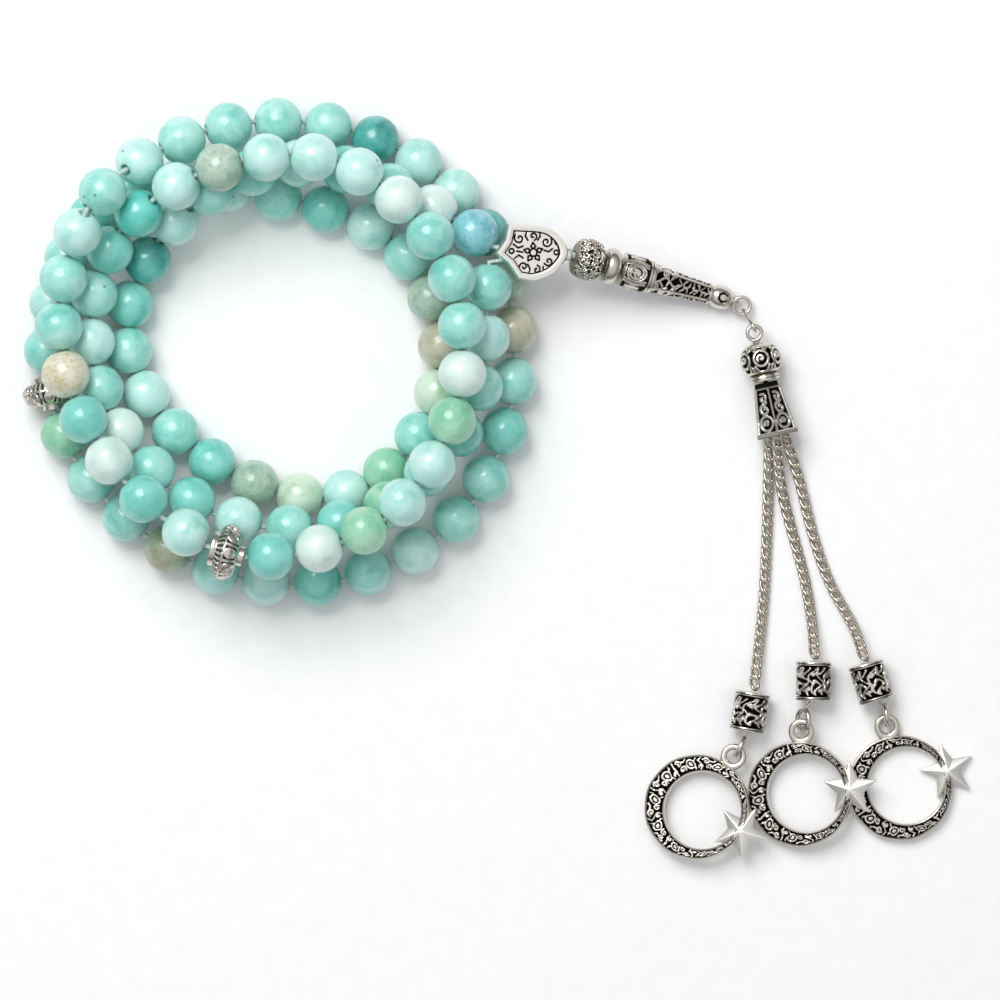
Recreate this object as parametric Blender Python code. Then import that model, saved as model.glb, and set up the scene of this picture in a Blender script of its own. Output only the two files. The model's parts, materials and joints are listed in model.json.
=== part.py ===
"""Misbaha prayer beads: 99 stone beads and two metal dividers on one thread, laid down in
loose turns, with a metal leader (imame) and a three-chain tassel of crescent charms.

Metres, +Z up. The origin is under the middle of the whole object, on the surface it lies on.
"""
import math

import bmesh
import bpy
from mathutils import Matrix, Vector

MM = 0.001

# Where the coil's centre lies, measured from the middle of the whole object.
COIL_CENTRE = (-35.8 * MM, 20.9 * MM)
FIT_GAP = 0.3 * MM
FLOOR_GAP = 0.05 * MM

# Stone beads and the thread through them.
BEAD_DIAMETER = 8.0 * MM
BEAD_BORE = 2.0 * MM
BEAD_GAP = BEAD_DIAMETER / 160
BEAD_PLAY = BEAD_DIAMETER / 32
BEADS_PER_THIRD = 33
BEADS_PER_RUN = 5
THREAD_DIAMETER = 0.8 * MM
THREAD_SIDES = 4
THREAD_BORE = 2.5 * MM
BEAD_SIDES = 7
LOOSE_SIDES = 10

# The two dividers between the thirds.
DIVIDER_DIAMETER = 9.5 * MM
DIVIDER_LENGTH = 5.6 * MM

# Every third joint between neighbours on the strand, in millimetres from the coil's centre,
# with the height at which the strand is laid down there. Heights settle upwards from these.
STRAND_ROUTE = [
    (33.4, 14.9, 11.5), (30.8, -9.5, 9.5), (13.0, -27.0, 9.0), (-12.0, -26.0, 9.0),
    (-29.5, -8.5, 9.0), (-30.0, 15.0, 9.0), (-13.5, 29.0, 14.0), (9.5, 31.0, 16.5),
    (26.5, 15.0, 17.5), (28.5, -8.5, 17.0), (16.0, -27.5, 16.5), (-7.5, -33.0, 15.0),
    (-27.0, -19.5, 14.5), (-36.7, 2.0, 15.0), (-30.7, 24.5, 14.0), (-11.5, 37.0, 7.5),
    (13.0, 36.2, 4.0), (32.0, 22.0, 4.0), (37.7, -2.5, 4.0), (29.5, -26.0, 4.0),
    (7.0, -37.5, 4.0), (-18.0, -33.0, 4.0), (-36.0, -14.5, 4.0), (-38.5, 8.0, 4.0),
    (-27.0, 27.0, 4.0), (-2.0, 26.0, 4.0), (20.0, 17.0, 4.0), (25.5, -6.0, 4.0),
    (10.0, -23.5, 4.0), (-13.5, -17.0, 4.0), (-26.5, 2.0, 4.0), (-18.0, 22.0, 5.0),
    (2.5, 31.5, 10.0), (22.7, 24.7, 10.0), (34.2, 17.4, 11.5),
]
ROUTE_STEPS = 40
SHOVES = 300
SETTLING_PASSES = 60

# Beads that are single nodes, free to turn on the thread; the rest are joined in runs.
LOOSE_BEADS = (2, 19, 30, 40, 56, 97)

# Leader: shield bead, barrel, rondelle, long body.
SHIELD_THICKNESS = 4.4 * MM
SHIELD_EDGE = 0.5 * MM
SHIELD_TIP_OFFSET = Vector((0.3, 0.2, 0.0)) * MM
SHIELD_YAW = -1.0
SHIELD_PITCH = -12.0
SHIELD_OUTLINE = [
    (0.0, 0.0), (2.2, -1.7), (3.9, -4.2), (6.6, -4.4), (9.8, -3.1), (12.0, -0.7),
    (12.2, 1.0), (11.0, 3.1), (8.2, 4.6), (2.0, 4.9), (1.5, 2.2),
]
NECK_LENGTH = 0.8 * MM
NECK_DIAMETER = 2.8 * MM
NECK_GAP = 0.7 * MM
CORD_DIAMETER = 1.2 * MM
CORD_BORE = 1.8 * MM
CORD_REACH = 2.0 * MM
IMAME_YAW = -15.2
BARREL_LENGTH = 4.9 * MM
BARREL_DIAMETER = 7.0 * MM
RONDELLE_LENGTH = 2.8 * MM
RONDELLE_DIAMETER = 6.1 * MM
DRUM_LENGTH = 4.6 * MM
DRUM_DIAMETER = 5.8 * MM
BAND_LENGTH = 0.9 * MM
BAND_DIAMETER = 5.5 * MM
SHAFT_LENGTH = 10.7 * MM
SHAFT_DIAMETERS = (5.1 * MM, 3.4 * MM)
KNOB_DIAMETER = 4.0 * MM
LUG_RADIUS = 0.85 * MM
WIRE_DIAMETER = 0.56 * MM

# Jump ring, long link and tassel cap.
RING_RADIUS = 1.45 * MM
RING_YAW = -31.7
LINK_LENGTH = 5.0 * MM
LINK_WIDTH = 1.9 * MM
LINK_YAW = -62.7
CAP_YAW = -77.3
CAP_EYE_RADIUS = 1.1 * MM
CAP_BALL_DIAMETER = 6.8 * MM
CAP_BALL_LENGTH = 5.6 * MM
CAP_STEM = 0.5 * MM
FLANGE_DIAMETER = 5.1 * MM
BELL_NECK_DIAMETER = 4.6 * MM
BELL_LENGTH = 9.2 * MM
BELL_MOUTH_DIAMETER = 8.0 * MM
BELL_WALL = 0.6 * MM
PIN_DIAMETER = 0.8 * MM

# Chains: sideways and upward place of each start in the bell, in chain diameters, then a
# route in millimetres from the middle of the bell's mouth.
CHAIN_DIAMETER = 1.8 * MM
CHAIN_SIDES = 6
CHAIN_SEGMENTS = 3
CHAIN_JOINT_GAP = 0.5 * MM
CHAIN_START_DEPTH = 1.6 * MM
CHAIN_STARTS = {"left": (-0.61, -0.28), "middle": (0.0, 0.67), "right": (0.61, -0.28)}
CHAIN_ROUTES = {
    "left": [(-1.5, -7.5, 1.2), (-1.7, -16.0, 0.85), (-2.2, -26.5, 0.85), (-3.2, -36.5, 1.4)],
    "middle": [(0.5, -7.5, 2.2), (2.1, -14.5, 0.95), (4.5, -23.5, 0.85), (5.9, -32.0, 1.5)],
    "right": [(3.6, -7.0, 1.4), (6.0, -16.5, 0.85), (8.8, -24.5, 0.85), (12.8, -32.0, 1.5)],
}
CHAIN_ENDS = {"left": (-4.1, -42.8), "middle": (6.1, -37.6), "right": (14.7, -37.9)}

# Cylinder beads, eye wires and crescent charms on the chains' ends.
CYLINDER_LENGTH = 6.6 * MM
CYLINDER_DIAMETER = 6.1 * MM
CYLINDER_BORE = 1.6 * MM
CYLINDER_YAWS = {"left": -99.5, "middle": -91.0, "right": -73.5}
SHANK_YAWS = {"left": -113.0, "middle": -118.0, "right": -56.0}
EYE_YAWS = {"left": -117.0, "middle": -93.0, "right": -84.0}
EYE_ROLLS = {"left": 90.0, "middle": 58.0, "right": 90.0}
EYE_RADIUS = 1.65 * MM
EYE_WIRE_DIAMETER = 0.66 * MM
EYE_DROPS = {"left": 2.8 * MM, "middle": 3.6 * MM, "right": 2.9 * MM}
EYE_REACHES = {"left": 2.0 * MM, "middle": 2.0 * MM, "right": 2.0 * MM}
CHARM_YAWS = {"left": -126.0, "middle": -91.5, "right": -78.0}
CHARM_TILTS = {"left": 9.5, "middle": 9.0, "right": 0.0}
CHARM_DIAMETER = 17.6 * MM
CHARM_HOLE_DIAMETER = 12.8 * MM
CHARM_HOLE_OFFSET = 1.15 * MM
CHARM_THICKNESS = 1.8 * MM
CHARM_LOOP_RADIUS = 1.65 * MM
CHARM_LOOP_HEIGHT = 1.25 * MM
CHARM_LOOP_DISTANCE = CHARM_DIAMETER / 2 + CHARM_LOOP_RADIUS
STAR_BEARING = 97.0
STAR_DISTANCE = 8.45 * MM
STAR_RADIUS = 4.6 * MM
STAR_WAIST = 0.42
STAR_TURN = 57.0
STAR_PEAK = 2.5 * MM
STAR_RIM = 1.1 * MM

STONE = ("amazonite", (0.42, 0.78, 0.72), 0.0, 0.18)
SILVER = ("antique_silver", (0.62, 0.60, 0.56), 1.0, 0.32)
THREAD = ("waxed_thread", (0.90, 0.90, 0.86), 0.0, 0.7)


# ---------------------------------------------------------------- placing and building

def clear_scene():
    for thing in list(bpy.data.objects):
        bpy.data.objects.remove(thing, do_unlink=True)


def material(kind):
    name, colour, metallic, roughness = kind
    found = bpy.data.materials.get(name)
    if found:
        return found
    made = bpy.data.materials.new(name)
    made.use_nodes = True
    shader = made.node_tree.nodes["Principled BSDF"]
    shader.inputs["Base Color"].default_value = (*colour, 1.0)
    shader.inputs["Metallic"].default_value = metallic
    shader.inputs["Roughness"].default_value = roughness
    return made


def frame_at(place, yaw=0.0, pitch=0.0, roll=0.0):
    """A frame whose +X points along the yaw and pitch, turned by roll about itself (degrees)."""
    turn = Matrix.Rotation(math.radians(yaw), 4, "Z")
    turn @= Matrix.Rotation(math.radians(-pitch), 4, "Y")
    turn @= Matrix.Rotation(math.radians(roll), 4, "X")
    return Matrix.Translation(place) @ turn


def heading(yaw):
    return Vector((math.cos(math.radians(yaw)), math.sin(math.radians(yaw)), 0))


def frame_along(place, direction):
    yaw = math.degrees(math.atan2(direction.y, direction.x))
    pitch = math.degrees(math.asin(direction.z / direction.length))
    return frame_at(place, yaw, pitch)


def pivot(name, frame, parent=None):
    """An empty on a joint's axis; the pieces that move with the joint are its children."""
    empty = bpy.data.objects.new(name, None)
    bpy.context.scene.collection.objects.link(empty)
    attach(empty, frame, parent)
    return empty


def attach(thing, frame, parent):
    thing["frame"] = [value for row in frame for value in row]
    if parent:
        above = parent["frame"]
        rows = [tuple(above[i:i + 4]) for i in range(0, 16, 4)]
        thing.parent = parent
        thing.matrix_basis = Matrix(rows).inverted() @ frame
    else:
        thing.matrix_basis = frame


def add_piece(name, bm, frame, kind, parent=None, smooth=35.0):
    """Finish a bmesh as one named object with its material."""
    bmesh.ops.remove_doubles(bm, verts=bm.verts, dist=1e-7)
    bmesh.ops.recalc_face_normals(bm, faces=bm.faces)
    mesh = bpy.data.meshes.new(name)
    bm.to_mesh(mesh)
    bm.free()
    mesh.shade_smooth()
    mesh.set_sharp_from_angle(angle=math.radians(smooth))
    mesh.materials.append(material(kind))
    thing = bpy.data.objects.new(name, mesh)
    bpy.context.scene.collection.objects.link(thing)
    attach(thing, frame, parent)
    return thing


def ring_of(bm, radius, sides, frame):
    """A circle of vertices about the frame's X axis."""
    across = frame @ Matrix.Rotation(math.pi / 2, 4, "Y")
    made = bmesh.ops.create_circle(bm, cap_ends=False, radius=radius, segments=sides, matrix=across)
    return made["verts"]


def skin(bm, rings, closed=False):
    """Faces from each ring to the next, and back to the first if closed, else capped."""
    pairs = list(zip(rings, rings[1:]))
    if closed:
        pairs.append((rings[-1], rings[0]))
    for low, high in pairs:
        for i in range(len(low)):
            j = (i + 1) % len(low)
            bm.faces.new((low[i], low[j], high[j], high[i]))
    if not closed:
        bm.faces.new(rings[0])
        bm.faces.new(rings[-1])


def turned(profile, sides, bore=0.0):
    """A piece turned about X: (place, radius) points, with a bore if one is given."""
    bm = bmesh.new()
    rings = [ring_of(bm, r, sides, Matrix.Translation((x, 0, 0))) for x, r in profile]
    if bore:
        ends = (profile[-1][0], profile[0][0])
        rings += [ring_of(bm, bore / 2, sides, Matrix.Translation((x, 0, 0))) for x in ends]
    skin(bm, rings, closed=bool(bore))
    return bm


def hoop(radius, wire, steps=14, sides=5, stretch=0.0):
    """A closed wire ring about Z; stretch lengthens it along X into an oval."""
    bm = bmesh.new()
    rings = []
    for i in range(steps):
        angle = 2 * math.pi * i / steps
        shift = math.copysign(stretch / 2, math.cos(angle)) if stretch else 0.0
        place = Vector((radius * math.cos(angle) + shift, radius * math.sin(angle), 0))
        rings.append(ring_of(bm, wire / 2, sides, frame_at(place, math.degrees(angle) + 90)))
    skin(bm, rings, closed=True)
    return bm


def prism(outline, low, high):
    """A flat outline in XY, extruded from the low height to the high one."""
    bm = bmesh.new()
    face = bm.faces.new([bm.verts.new((x, y, low)) for x, y in outline])
    made = bmesh.ops.extrude_face_region(bm, geom=[face])
    tops = [v for v in made["geom"] if isinstance(v, bmesh.types.BMVert)]
    bmesh.ops.translate(bm, verts=tops, vec=(0, 0, high - low))
    return bm


def rod(points, diameter, sides):
    """A straight-run rod through points, with flat ends."""
    bm = bmesh.new()
    rings = []
    for i, point in enumerate(points):
        before = points[max(i - 1, 0)]
        after = points[min(i + 1, len(points) - 1)]
        rings.append(ring_of(bm, diameter / 2, sides, frame_along(point, after - before)))
    skin(bm, rings)
    return bm


def join(thing, other_bm, frame, operation="UNION"):
    """Add a shape to a piece, or cut it away; the shape lies in the piece's own frame."""
    bmesh.ops.transform(other_bm, matrix=frame, verts=other_bm.verts)
    tool = add_piece(thing.name + "_tool", other_bm, Matrix.Identity(4), SILVER)
    tool.parent = thing
    tool.hide_render = True
    tool.display_type = "WIRE"
    step = thing.modifiers.new(operation.lower(), "BOOLEAN")
    step.operation = operation
    step.solver = "EXACT"
    step.object = tool


# ---------------------------------------------------------------- how the strand lies

def smooth_route(points):
    """A smooth curve through the points (Catmull-Rom), with ROUTE_STEPS steps to each span."""
    points = [Vector(p) for p in points]
    ends = [2 * points[0] - points[1]] + points + [2 * points[-1] - points[-2]]
    curve = []
    for a, b, c, d in zip(ends, ends[1:], ends[2:], ends[3:]):
        for step in range(ROUTE_STEPS):
            t = step / ROUTE_STEPS
            curve.append(0.5 * (2 * b + (c - a) * t + (2 * a - 5 * b + 4 * c - d) * t * t
                                + (3 * b - a - 3 * c + d) * t ** 3))
    curve.append(points[-1])
    return curve


def distances(curve):
    total = [0.0]
    for a, b in zip(curve, curve[1:]):
        total.append(total[-1] + (b - a).length)
    return total


def point_at(curve, total, distance):
    low, high = 0, len(total) - 1
    while high - low > 1:
        middle = (low + high) // 2
        if total[middle] <= distance:
            low = middle
        else:
            high = middle
    share = (distance - total[low]) / (total[high] - total[low])
    return curve[low].lerp(curve[high], share)


def strand_items():
    third = ["bead"] * BEADS_PER_THIRD
    return third + ["divider"] + third + ["divider"] + third


def item_length(item):
    return BEAD_DIAMETER if item == "bead" else DIVIDER_LENGTH


def item_radius(item):
    return (BEAD_DIAMETER if item == "bead" else DIVIDER_DIAMETER) / 2


def strand_joints():
    """The points between neighbours on the thread, before they settle on each other."""
    items = strand_items()
    curve = smooth_route(STRAND_ROUTE)
    drawn = distances(curve)
    wanted = sum(item_length(item) + BEAD_PLAY for item in items)
    curve = [p * (wanted / drawn[-1]) for p in curve]
    total = distances(curve)
    marks = []
    for span, first in enumerate(range(0, len(items), 3)):
        inside = [item_length(item) for item in items[first:first + 3]]
        start, end = total[span * ROUTE_STEPS], total[(span + 1) * ROUTE_STEPS]
        for k in range(len(inside)):
            marks.append(start + (end - start) * sum(inside[:k]) / sum(inside))
    marks.append(total[-1])
    for _ in range(SHOVES):
        for k, item in enumerate(items):
            short = item_length(item) + BEAD_GAP - (marks[k + 1] - marks[k])
            if short > 0:
                marks[k] -= short / 2
                marks[k + 1] += short / 2
    over = max(marks[-1] - total[-1], 0.0)
    under = max(-marks[0], 0.0)
    share = total[-1] / (total[-1] + over + under)
    return [point_at(curve, total, (m + under) * share) for m in marks]


def settled_joints():
    """Lift each bead that lies in another turn until it rests on it, or on the surface."""
    joints = strand_joints()
    radii = [item_radius(item) for item in strand_items()]
    count = len(radii)
    for _ in range(SETTLING_PASSES):
        centres = [(a + b) / 2 for a, b in zip(joints, joints[1:])]
        lifts = [max(r - c.z, 0.0) for r, c in zip(radii, centres)]
        for i in range(count):
            for j in range(count):
                if abs(i - j) < 2 or (centres[i].z, -i) <= (centres[j].z, -j):
                    continue
                reach = radii[i] + radii[j] + 2 * BEAD_GAP
                flat = (centres[i] - centres[j]).xy.length
                if flat < reach:
                    needed = centres[j].z + math.sqrt(reach ** 2 - flat ** 2)
                    lifts[i] = max(lifts[i], needed - centres[i].z)
        for i, lift in enumerate(lifts):
            joints[i].z += lift / 2
            joints[i + 1].z += lift / 2
    home = Vector((*COIL_CENTRE, 0.0))
    return [joint + home for joint in joints]


# ---------------------------------------------------------------- strand

def bead_profile(bands):
    """Places and radii along a bead, from one bore mouth to the other."""
    radius = BEAD_DIAMETER / 2
    mouth = math.acos((BEAD_BORE / 2 + 0.2 * MM) / radius)
    angles = [mouth * (2 * k / bands - 1) for k in range(bands + 1)]
    return [(radius * math.sin(a), radius * math.cos(a)) for a in angles]


def bead_run(name, beads, parent=None):
    """One bead or several in line, joined by a sleeve round the thread.

    Each bead is given as its frame and the joint that follows it on the thread."""
    bm = bmesh.new()
    frames = [frame for frame, _ in beads]
    back = frames[0].inverted()
    alone = len(frames) == 1
    profile = bead_profile(6 if alone else 4)
    sides = LOOSE_SIDES if alone else BEAD_SIDES
    outer = []
    for frame in frames:
        for x, r in profile:
            outer.append(ring_of(bm, r, sides, back @ frame @ Matrix.Translation((x, 0, 0))))
    knots = [frames[0] @ Vector((profile[0][0], 0, 0))] + [joint for _, joint in beads[:-1]]
    knots.append(frames[-1] @ Vector((profile[-1][0], 0, 0)))
    bore = []
    for k, knot in enumerate(knots):
        turn = frames[max(k - 1, 0)].col[0].xyz + frames[min(k, len(frames) - 1)].col[0].xyz
        bore.append(ring_of(bm, BEAD_BORE / 2, sides, back @ frame_along(knot, turn)))
    skin(bm, outer + bore[::-1], closed=True)
    return add_piece(name, bm, frames[0], STONE, parent)


def divider(name, frame, parent):
    """A domed openwork roundel with a tube end and a smooth collar, in plain outline."""
    half = DIVIDER_LENGTH / 2
    radius = DIVIDER_DIAMETER / 2
    profile = [(-half, 0.36 * radius), (-0.8 * half, 0.36 * radius), (-0.7 * half, 0.72 * radius),
               (-0.3 * half, 0.97 * radius), (0.15 * half, radius), (0.55 * half, 0.82 * radius),
               (0.66 * half, 0.58 * radius), (half, 0.56 * radius)]
    return add_piece(name, turned(profile, 12, BEAD_BORE), frame, SILVER, parent)


def thread(points):
    """The one thread, whole, from inside the shield bead round the strand and back."""
    line = bpy.data.curves.new("thread", "CURVE")
    line.dimensions = "3D"
    line.bevel_depth = THREAD_DIAMETER / 2
    line.bevel_resolution = THREAD_SIDES // 2 - 2
    line.use_fill_caps = True
    spline = line.splines.new("POLY")
    spline.points.add(len(points) - 1)
    for knot, point in zip(spline.points, points):
        knot.co = (*point, 1.0)
    line.materials.append(material(THREAD))
    thing = bpy.data.objects.new("thread", line)
    bpy.context.scene.collection.objects.link(thing)
    return thing


def build_strand(joints):
    items = strand_items()
    frames = [frame_along((a + b) / 2, b - a) for a, b in zip(joints, joints[1:])]
    run, bead_number, run_number, divider_number = [], 0, 0, 0
    for item, frame, joint in zip(items + ["end"], frames + [None], joints[1:] + [None]):
        loose = item == "bead" and bead_number + 1 in LOOSE_BEADS
        if run and (item != "bead" or loose or len(run) == BEADS_PER_RUN):
            run_number += 1
            bead_run(f"bead_run_{run_number:02d}", run)
            run = []
        if item == "divider":
            divider_number += 1
            home = pivot(f"divider_{divider_number}_spin", frame)
            divider(f"divider_{divider_number}", frame, home)
        if item == "bead":
            bead_number += 1
            if loose:
                home = pivot(f"bead_{bead_number:02d}_spin", frame)
                bead_run(f"bead_{bead_number:02d}", [(frame, joint)], home)
            else:
                run.append((frame, joint))


# ---------------------------------------------------------------- leader

def shield_frame(joints):
    tip = (joints[0] + joints[-1]) / 2 + SHIELD_TIP_OFFSET
    return frame_at(tip, SHIELD_YAW, SHIELD_PITCH)


def shield_meeting(shield):
    """Where the two thread ends meet the leader's cord, inside the shield bead."""
    return shield @ Vector((4.2 * MM, 0.0, 0.0))


def shield_length():
    return max(x for x, _ in SHIELD_OUTLINE) * MM


def shield_bead(frame, joints):
    outline = [(x * MM, y * MM) for x, y in SHIELD_OUTLINE]
    bm = prism(outline, -SHIELD_THICKNESS / 2, SHIELD_THICKNESS / 2)
    thing = add_piece("shield_bead", bm, frame, SILVER)
    edge = thing.modifiers.new("edge", "BEVEL")
    edge.width = SHIELD_EDGE
    edge.segments = 1
    edge.limit_method = "ANGLE"
    end = shield_length()
    neck = rod([Vector((end - 1.2 * MM, 0, 0)), Vector((end + NECK_LENGTH, 0, 0))], NECK_DIAMETER, 12)
    join(thing, neck, Matrix.Identity(4))
    inside = frame.inverted() @ shield_meeting(frame)
    bore = rod([inside - Vector((0.9 * MM, 0, 0)), Vector((end + 2 * NECK_LENGTH, 0, 0))], CORD_BORE, 10)
    join(thing, bore, Matrix.Identity(4), "DIFFERENCE")
    for joint in (joints[0], joints[-1]):
        mouth = frame.inverted() @ joint
        out = mouth + (mouth - inside)
        join(thing, rod([inside, out], THREAD_BORE, 10), Matrix.Identity(4), "DIFFERENCE")
    return thing


def thread_points(joints, shield):
    """The strand's joints, with each end led into the shield bead beside the other."""
    meeting = shield_meeting(shield)
    side = (shield.to_3x3() @ Vector((0, 1, 0))) * (THREAD_DIAMETER / 2 + FIT_GAP / 2)
    first = meeting + side if (joints[0] - meeting).dot(side) > 0 else meeting - side
    last = 2 * meeting - first
    return [first] + joints + [last]


def imame_lengths():
    """Where each piece starts along the leader, measured from the swing joint."""
    barrel = NECK_GAP / 2
    rondelle = barrel + BARREL_LENGTH + FIT_GAP
    body = rondelle + RONDELLE_LENGTH + FIT_GAP
    knob = body + DRUM_LENGTH + BAND_LENGTH + SHAFT_LENGTH + KNOB_DIAMETER / 2
    return barrel, rondelle, body, knob


def imame_frame(shield):
    """The swing joint's frame: the leader leans from the shield down to the surface."""
    start = shield @ Vector((shield_length() + NECK_LENGTH + NECK_GAP / 2, 0, 0))
    knob = imame_lengths()[3]
    drop = start.z - KNOB_DIAMETER / 2 - 3 * FLOOR_GAP
    return frame_at(start, IMAME_YAW, -math.degrees(math.asin(drop / knob)))


def barrel_bead(frame, parent):
    half, radius = BARREL_LENGTH / 2, BARREL_DIAMETER / 2
    profile = [(-half, 0.62 * radius), (-0.85 * half, 0.84 * radius), (-0.45 * half, 0.97 * radius),
               (0, radius), (0.45 * half, 0.97 * radius), (0.85 * half, 0.84 * radius),
               (half, 0.62 * radius)]
    return add_piece("barrel_bead", turned(profile, 12, CORD_BORE), frame, SILVER, parent)


def rondelle_bead(frame, parent):
    half, radius = RONDELLE_LENGTH / 2, RONDELLE_DIAMETER / 2
    profile = [(-half, 0.56 * radius), (-0.8 * half, 0.83 * radius), (-0.3 * half, radius),
               (0.3 * half, radius), (0.8 * half, 0.83 * radius), (half, 0.56 * radius)]
    return add_piece("rondelle_bead", turned(profile, 12, CORD_BORE), frame, SILVER, parent)


def imame_body(frame, parent):
    """Drum, double band, tapered shaft and end knob in one casting, with a wire lug."""
    drum, band = DRUM_DIAMETER / 2, BAND_DIAMETER / 2
    wide, slim = SHAFT_DIAMETERS[0] / 2, SHAFT_DIAMETERS[1] / 2
    knob = KNOB_DIAMETER / 2
    bands = DRUM_LENGTH + BAND_LENGTH
    tail = bands + SHAFT_LENGTH
    profile = [(0, 0.72 * drum), (0.4 * MM, drum), (DRUM_LENGTH - 0.4 * MM, drum),
               (DRUM_LENGTH, band), (bands, band), (bands + 0.2 * MM, wide), (tail, slim),
               (tail + 0.6 * knob, knob), (tail + 1.4 * knob, knob), (tail + 2 * knob, 0.5 * knob)]
    thing = add_piece("imame_body", turned(profile, 12), frame, SILVER, parent)
    depth = DRUM_LENGTH + 2 * MM
    bore = rod([Vector((-MM, 0, 0)), Vector((depth, 0, 0))], CORD_BORE, 10)
    join(thing, bore, Matrix.Identity(4), "DIFFERENCE")
    place = Vector((tail + 2 * knob + LUG_RADIUS / 2, 0, 0))
    join(thing, hoop(LUG_RADIUS, WIRE_DIAMETER, 12), frame_at(place, 0, 0, 90))
    return thing


def leader_cord(shield):
    """The doubled thread, from inside the shield bead to just inside the barrel's bore."""
    start = shield_meeting(shield) + (shield.to_3x3() @ Vector((0.9 * MM, 0, 0)))
    neck = shield @ Vector((shield_length() + NECK_LENGTH, 0, 0))
    imame = imame_frame(shield)
    end = imame @ Vector((NECK_GAP / 2 + CORD_REACH, 0, 0))
    points = [p - start for p in (start, neck, imame.translation, end)]
    home = Matrix.Translation(start)
    return add_piece("leader_cord", rod(points, CORD_DIAMETER, 8), home, THREAD)


def leader_core(imame, parent):
    """The rest of the doubled thread, from the barrel's bore to the knot inside the body."""
    start = NECK_GAP / 2 + CORD_REACH + FIT_GAP
    end = imame_lengths()[2] + DRUM_LENGTH + MM
    bm = rod([Vector((start, 0, 0)), Vector((end, 0, 0))], CORD_DIAMETER, 8)
    return add_piece("leader_core", bm, imame, THREAD, parent)


# ---------------------------------------------------------------- ring, link and cap

def lug_frame(imame):
    """The middle of the wire lug on the knob."""
    reach = imame_lengths()[3] + KNOB_DIAMETER / 2 + LUG_RADIUS / 2
    return imame @ Matrix.Translation((reach, 0, 0))


def ring_frame(lug):
    """A flat ring hanging in the lug; its frame's origin is the swing joint, on the wire."""
    slack = LUG_RADIUS - WIRE_DIAMETER - FIT_GAP / 3
    place = lug.translation + heading(RING_YAW) * slack / 2
    return frame_at(place, RING_YAW)


def cap_axis_height():
    return max(CAP_BALL_DIAMETER, BELL_MOUTH_DIAMETER) / 2 + FLOOR_GAP


def link_inset():
    """How far inside each end of the long link the next ring's wire crosses it."""
    return WIRE_DIAMETER + FIT_GAP / 2


def link_frame(ring):
    """An upright oval through the ring, rising to the cap's eye."""
    centre = ring @ Vector((RING_RADIUS, 0, 0))
    crossing = centre + heading(LINK_YAW) * RING_RADIUS
    rise = math.asin((cap_axis_height() - crossing.z) / (LINK_LENGTH - 2 * link_inset()))
    link = frame_at(crossing, LINK_YAW, math.degrees(rise))
    return link @ Matrix.Translation((-link_inset(), 0, 0))


def cap_frame(link):
    """The cap's eye: the origin is the eye's middle, the axis lies level."""
    crossing = link @ Vector((LINK_LENGTH - link_inset(), 0, 0))
    return frame_at(crossing + heading(CAP_YAW) * CAP_EYE_RADIUS, CAP_YAW)


def jump_ring(frame, parent):
    bm = hoop(RING_RADIUS, WIRE_DIAMETER)
    return add_piece("jump_ring", bm, frame @ Matrix.Translation((RING_RADIUS, 0, 0)), SILVER, parent)


def long_link(frame, parent):
    radius = (LINK_WIDTH - WIRE_DIAMETER) / 2
    bm = hoop(radius, WIRE_DIAMETER, stretch=LINK_LENGTH - 2 * radius)
    middle = frame @ Matrix.Translation((LINK_LENGTH / 2, 0, 0))
    return add_piece("long_link", bm, middle @ Matrix.Rotation(math.pi / 2, 4, "X"), SILVER, parent)


def cap_lengths():
    """Along the cap from the eye's middle: ball start, flange, bell start, mouth."""
    ball = CAP_EYE_RADIUS + WIRE_DIAMETER / 2 + CAP_STEM
    flange = ball + CAP_BALL_LENGTH
    bell = flange + 0.7 * MM + FIT_GAP
    return ball, flange, bell, bell + BELL_LENGTH


def cap_ball(frame, parent):
    """Eye, ball and flange in one casting."""
    ball, flange, bell, _ = cap_lengths()
    radius, half = CAP_BALL_DIAMETER / 2, CAP_BALL_LENGTH / 2
    middle = ball + half
    profile = [(CAP_EYE_RADIUS, 0.45 * MM), (ball, 0.3 * radius)]
    profile += [(middle - 0.75 * half, 0.72 * radius), (middle - 0.35 * half, 0.96 * radius),
                (middle, radius), (middle + 0.35 * half, 0.96 * radius),
                (middle + 0.75 * half, 0.72 * radius)]
    profile += [(flange - 0.1 * MM, FLANGE_DIAMETER / 2), (bell - FIT_GAP, FLANGE_DIAMETER / 2)]
    thing = add_piece("cap_ball", turned(profile, 12), frame, SILVER, parent)
    pin_way = rod([Vector((middle, 0, 0)), Vector((bell, 0, 0))], PIN_DIAMETER + 2 * FIT_GAP, 8)
    join(thing, pin_way, Matrix.Identity(4), "DIFFERENCE")
    join(thing, hoop(CAP_EYE_RADIUS, WIRE_DIAMETER), Matrix.Identity(4))
    return thing


def cap_bell(frame, parent):
    """A six-sided flared bell, hollow from its mouth up to the neck."""
    _, _, start, mouth = cap_lengths()
    top, wide = BELL_NECK_DIAMETER / 2, BELL_MOUTH_DIAMETER / 2
    rim = mouth - 0.9 * MM
    outer = [(start, top), (start + 1.1 * MM, top), (start + 2.0 * MM, 1.12 * top),
             (rim, 0.9 * wide), (rim + 0.2 * MM, wide), (mouth, wide)]
    inner = [(mouth, wide - BELL_WALL), (rim, 0.9 * wide - BELL_WALL),
             (start + 2.4 * MM, 1.12 * top - BELL_WALL), (start, PIN_DIAMETER / 2 + FIT_GAP)]
    bm = bmesh.new()
    turn = Matrix.Rotation(math.radians(30), 4, "X")
    rings = [ring_of(bm, r, 6, Matrix.Translation((x, 0, 0)) @ turn) for x, r in outer + inner]
    skin(bm, rings, closed=True)
    return add_piece("cap_bell", bm, frame, SILVER, parent, smooth=20)


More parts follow.
